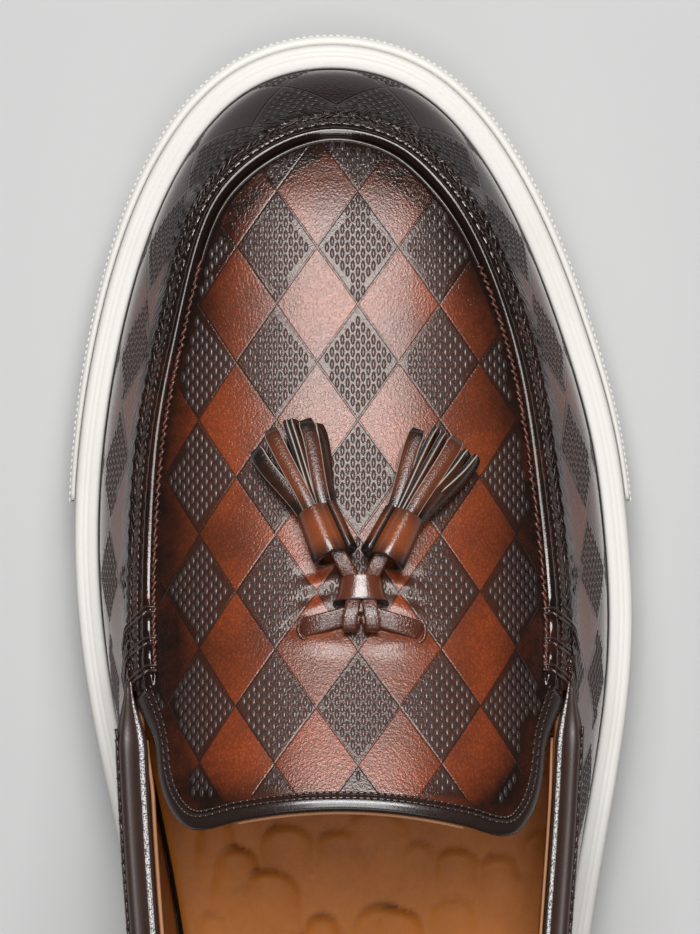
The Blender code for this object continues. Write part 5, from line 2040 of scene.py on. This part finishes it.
def strip_part(from_x, from_z, tip_x, tip_z, length, roll, tone_and_shade):
    """One cut strip with paler arrises: points, faces, finishes, and wax that is partly painted light and
    shade.
    """
    t = np.linspace(0.0, 1.0, 16)
    x = from_x + (tip_x - from_x) * fade(t, 0.0, 1.0)
    y = CAP_LENGTH - STRIP_ROOT + (length + STRIP_ROOT) * t
    z = from_z + (tip_z - from_z) * t ** 2.2
    path = np.column_stack([x, y, z])
    angle = np.radians(roll) * (0.5 + 0.5 * t)
    ups = np.column_stack([np.sin(angle), np.zeros(16), np.cos(angle)])
    w, h, c = STRIP_HALF, STRIP_THICK, ARRIS
    section = np.array(((c - w, h), (w - c, h), (w, h - c), (w, c - h), (w - c, -h), (c - w, -h), (-w, c - h),
                        (-w, h - c)))
    widen = np.column_stack([0.82 + 0.18 * t - 0.22 * fade(t, 0.93, 1.0), np.ones(16)])
    points, faces = bar(path, ups, section[None] * widen[:, None])
    kinds = (0, 1, 2, 1, 0, 1, 2, 1)
    indices = [kinds[k % 8] for k in range(len(faces) - 2)] + [2, 1]
    # Darker near the cap and towards the tip, over the strip's own darkness
    wax = tone_and_shade + 0.4 * fade(t, 0.35, 0.05) + 0.3 * fade(t, 0.75, 1.0)
    return points, faces, indices, np.repeat(wax, len(section))


print("strips %.1f mm wide" % (2.0 * STRIP_HALF))

# %% [markdown]
# ## Placing the tassels
# Cap and strips are built on the tassel's own axes and then carried onto the vamp: tipped towards the toe,
# turned outwards and lifted by the cap's radius. Every strip has its own row in the table, because in the
# photo no two of them lie alike.

# %% Tassels
# (name, x and y of the cap's mouth, turn outwards, fall towards the toe, direction of the roll, strips)
# Each strip: across at the cap, height there, across at the tip, height there, length, roll, and darkness,
# partly its own tone and partly painted light and shade for how it lies
TASSELS = (
    ("tassel_medial", -2.6, 45.4, -22.4, 17.5, 1.0, (
        (-2.3, 0.4, -6.2, -0.7, 15.6, -24.0, 0.85),
        (-1.0, 1.7, -2.3, 0.2, 17.8, -4.0, 0.38),
        (0.5, 0.4, 1.1, -0.1, 18.2, 72.0, 0.7),
        (1.3, 0.6, 2.2, -0.1, 18.0, 66.0, 0.7),
        (1.6, 1.4, 4.3, 0.0, 17.0, 12.0, 0.62),
        (2.5, -0.6, 6.2, -0.9, 15.6, 62.0, 0.8),
        (0.0, -1.7, 0.8, -1.9, 15.5, 0.0, 0.9),
    )),
    ("tassel_lateral", 5.6, 44.7, 27.2, 18.0, -1.0, (
        (-2.3, 0.6, -4.8, -0.2, 16.2, -14.0, 0.6),
        (-0.9, 0.4, -1.9, 0.0, 18.0, 70.0, 0.7),
        (-0.2, 0.8, -0.2, 0.1, 17.6, 74.0, 0.7),
        (0.9, 1.6, 2.3, 0.1, 18.0, 6.0, 0.42),
        (2.2, 0.4, 5.2, -0.6, 16.8, 58.0, 0.75),
        (2.6, -0.8, 7.2, -1.2, 17.0, 64.0, 0.85),
        (0.0, -1.7, 0.2, -1.9, 15.5, 0.0, 0.9),
    )),
)


def tassel_place(points, x, y, turn, fall):
    """Carry points from a tassel's own axes onto the vamp."""
    base = on_vamp(x, y, CAP_RADIUS + 2.0 * GAP)[0][0]
    tip = math.radians(-fall)
    out = math.radians(-turn)
    tipped = np.array([[1, 0, 0], [0, math.cos(tip), -math.sin(tip)], [0, math.sin(tip), math.cos(tip)]])
    turned = np.array([[math.cos(out), -math.sin(out), 0], [math.sin(out), math.cos(out), 0], [0, 0, 1]])
    return points @ (turned @ tipped).T + base


for name, x, y, turn, fall, direction, strips in TASSELS:
    made = [cap_part(direction)] + [strip_part(*strip) for strip in strips]
    points, faces = joined([part[:2] for part in made])
    indices = [index for part in made for index in part[2]]
    points = tassel_place(points, x, y, turn, fall)
    tassel = new_object(name + "_leather", points, faces, [TASSEL, CUT_EDGE, RAW_EDGE], indices=indices)
    store_numbers(tassel.data, "wax", np.concatenate([part[3] for part in made]))
    settle(tassel, "tassel", name)

# %% [markdown]
# ## Floor, light and camera
# The shoe stands on a plain pale floor and is seen from straight above. A broad soft light beyond the toe
# makes the pale sheen on the vamp, since the apron leans towards it. A second one draws the glint along the
# seam, a third hangs overhead, and a weak one behind the heel looks into the shoe. The world fills the shade
# a little. The camera's lens follows from the photo's 934 pixels at 0.2 mm each on the floor, one metre away.

# %% Stage
PHOTO_HEIGHT = 934
FLOOR_PER_PIXEL = 0.2
CAMERA_HEIGHT = 1.0
CAMERA_Y = 0.0635
# (name, place, aimed at, width, length, power)
LIGHTS = (
    ("toe_softbox", (0.02, 0.715, 1.17), (0.0, 0.09, 0.05), 0.75, 0.29, 13.8),
    ("seam_softbox", (0.0, 0.40, 1.32), (0.0, 0.08, 0.05), 0.40, 0.36, 4.6),
    ("top_softbox", (0.0, -0.08, 1.36), (0.0, -0.08, 0.0), 0.40, 0.52, 5.4),
    ("heel_fill", (0.0, -0.85, 1.15), (0.0, -0.03, 0.03), 0.6, 0.4, 1.6),
)


def make_lights():
    for name, place, aim, width, length, power in LIGHTS:
        data = bpy.data.lights.new(name, "AREA")
        data.shape = "RECTANGLE"
        data.size = width
        data.size_y = length
        data.energy = power
        lamp = bpy.data.objects.new(name, data)
        lamp.location = place
        back = unit(np.array(place) - np.array(aim))
        lamp.rotation_mode = "QUATERNION"
        lamp.rotation_quaternion = Vector((-back).tolist()).to_track_quat("-Z", "Y")
        bpy.context.scene.collection.objects.link(lamp)


def make_floor():
    material, tree, shader, place = finish("pale_floor", Roughness=0.7, Specular_IOR_Level=0.2)
    shade = cloud(tree, place, 400.0, 2.0)
    colour = mixed(tree, shade, (0.475, 0.475, 0.475, 1.0), (0.51, 0.51, 0.51, 1.0))
    feed(tree, colour, shader.inputs["Base Color"])
    half = 6000.0
    corners = [(-half, -half, 0.0), (half, -half, 0.0), (half, half, 0.0), (-half, half, 0.0)]
    return new_object("floor", corners, [[0, 1, 2, 3]], [material], closed=False)


def make_camera():
    data = bpy.data.cameras.new("camera")
    data.lens = data.sensor_width * CAMERA_HEIGHT / (PHOTO_HEIGHT * FLOOR_PER_PIXEL * MM)
    camera = bpy.data.objects.new("camera", data)
    camera.location = (0.0, CAMERA_Y, CAMERA_HEIGHT)
    bpy.context.scene.collection.objects.link(camera)
    bpy.context.scene.camera = camera


def make_world():
    world = bpy.data.worlds.new("studio")
    world.use_nodes = True
    sky = world.node_tree.nodes["Background"]
    sky.inputs["Color"].default_value = (1.0, 1.0, 1.0, 1.0)
    sky.inputs["Strength"].default_value = 0.07
    bpy.context.scene.world = world


make_world()
make_lights()
make_camera()
make_floor()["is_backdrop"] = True
bpy.context.scene.view_settings.view_transform = "Standard"
print("lights:", [entry[0] for entry in LIGHTS])

# %% Finish
VISUAL_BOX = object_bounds()
growth = [round((b - a) / MM, 2) for a, b in zip(CAD_BOX[1], VISUAL_BOX[1])]
print("box grew by", growth, "mm at the top corner")
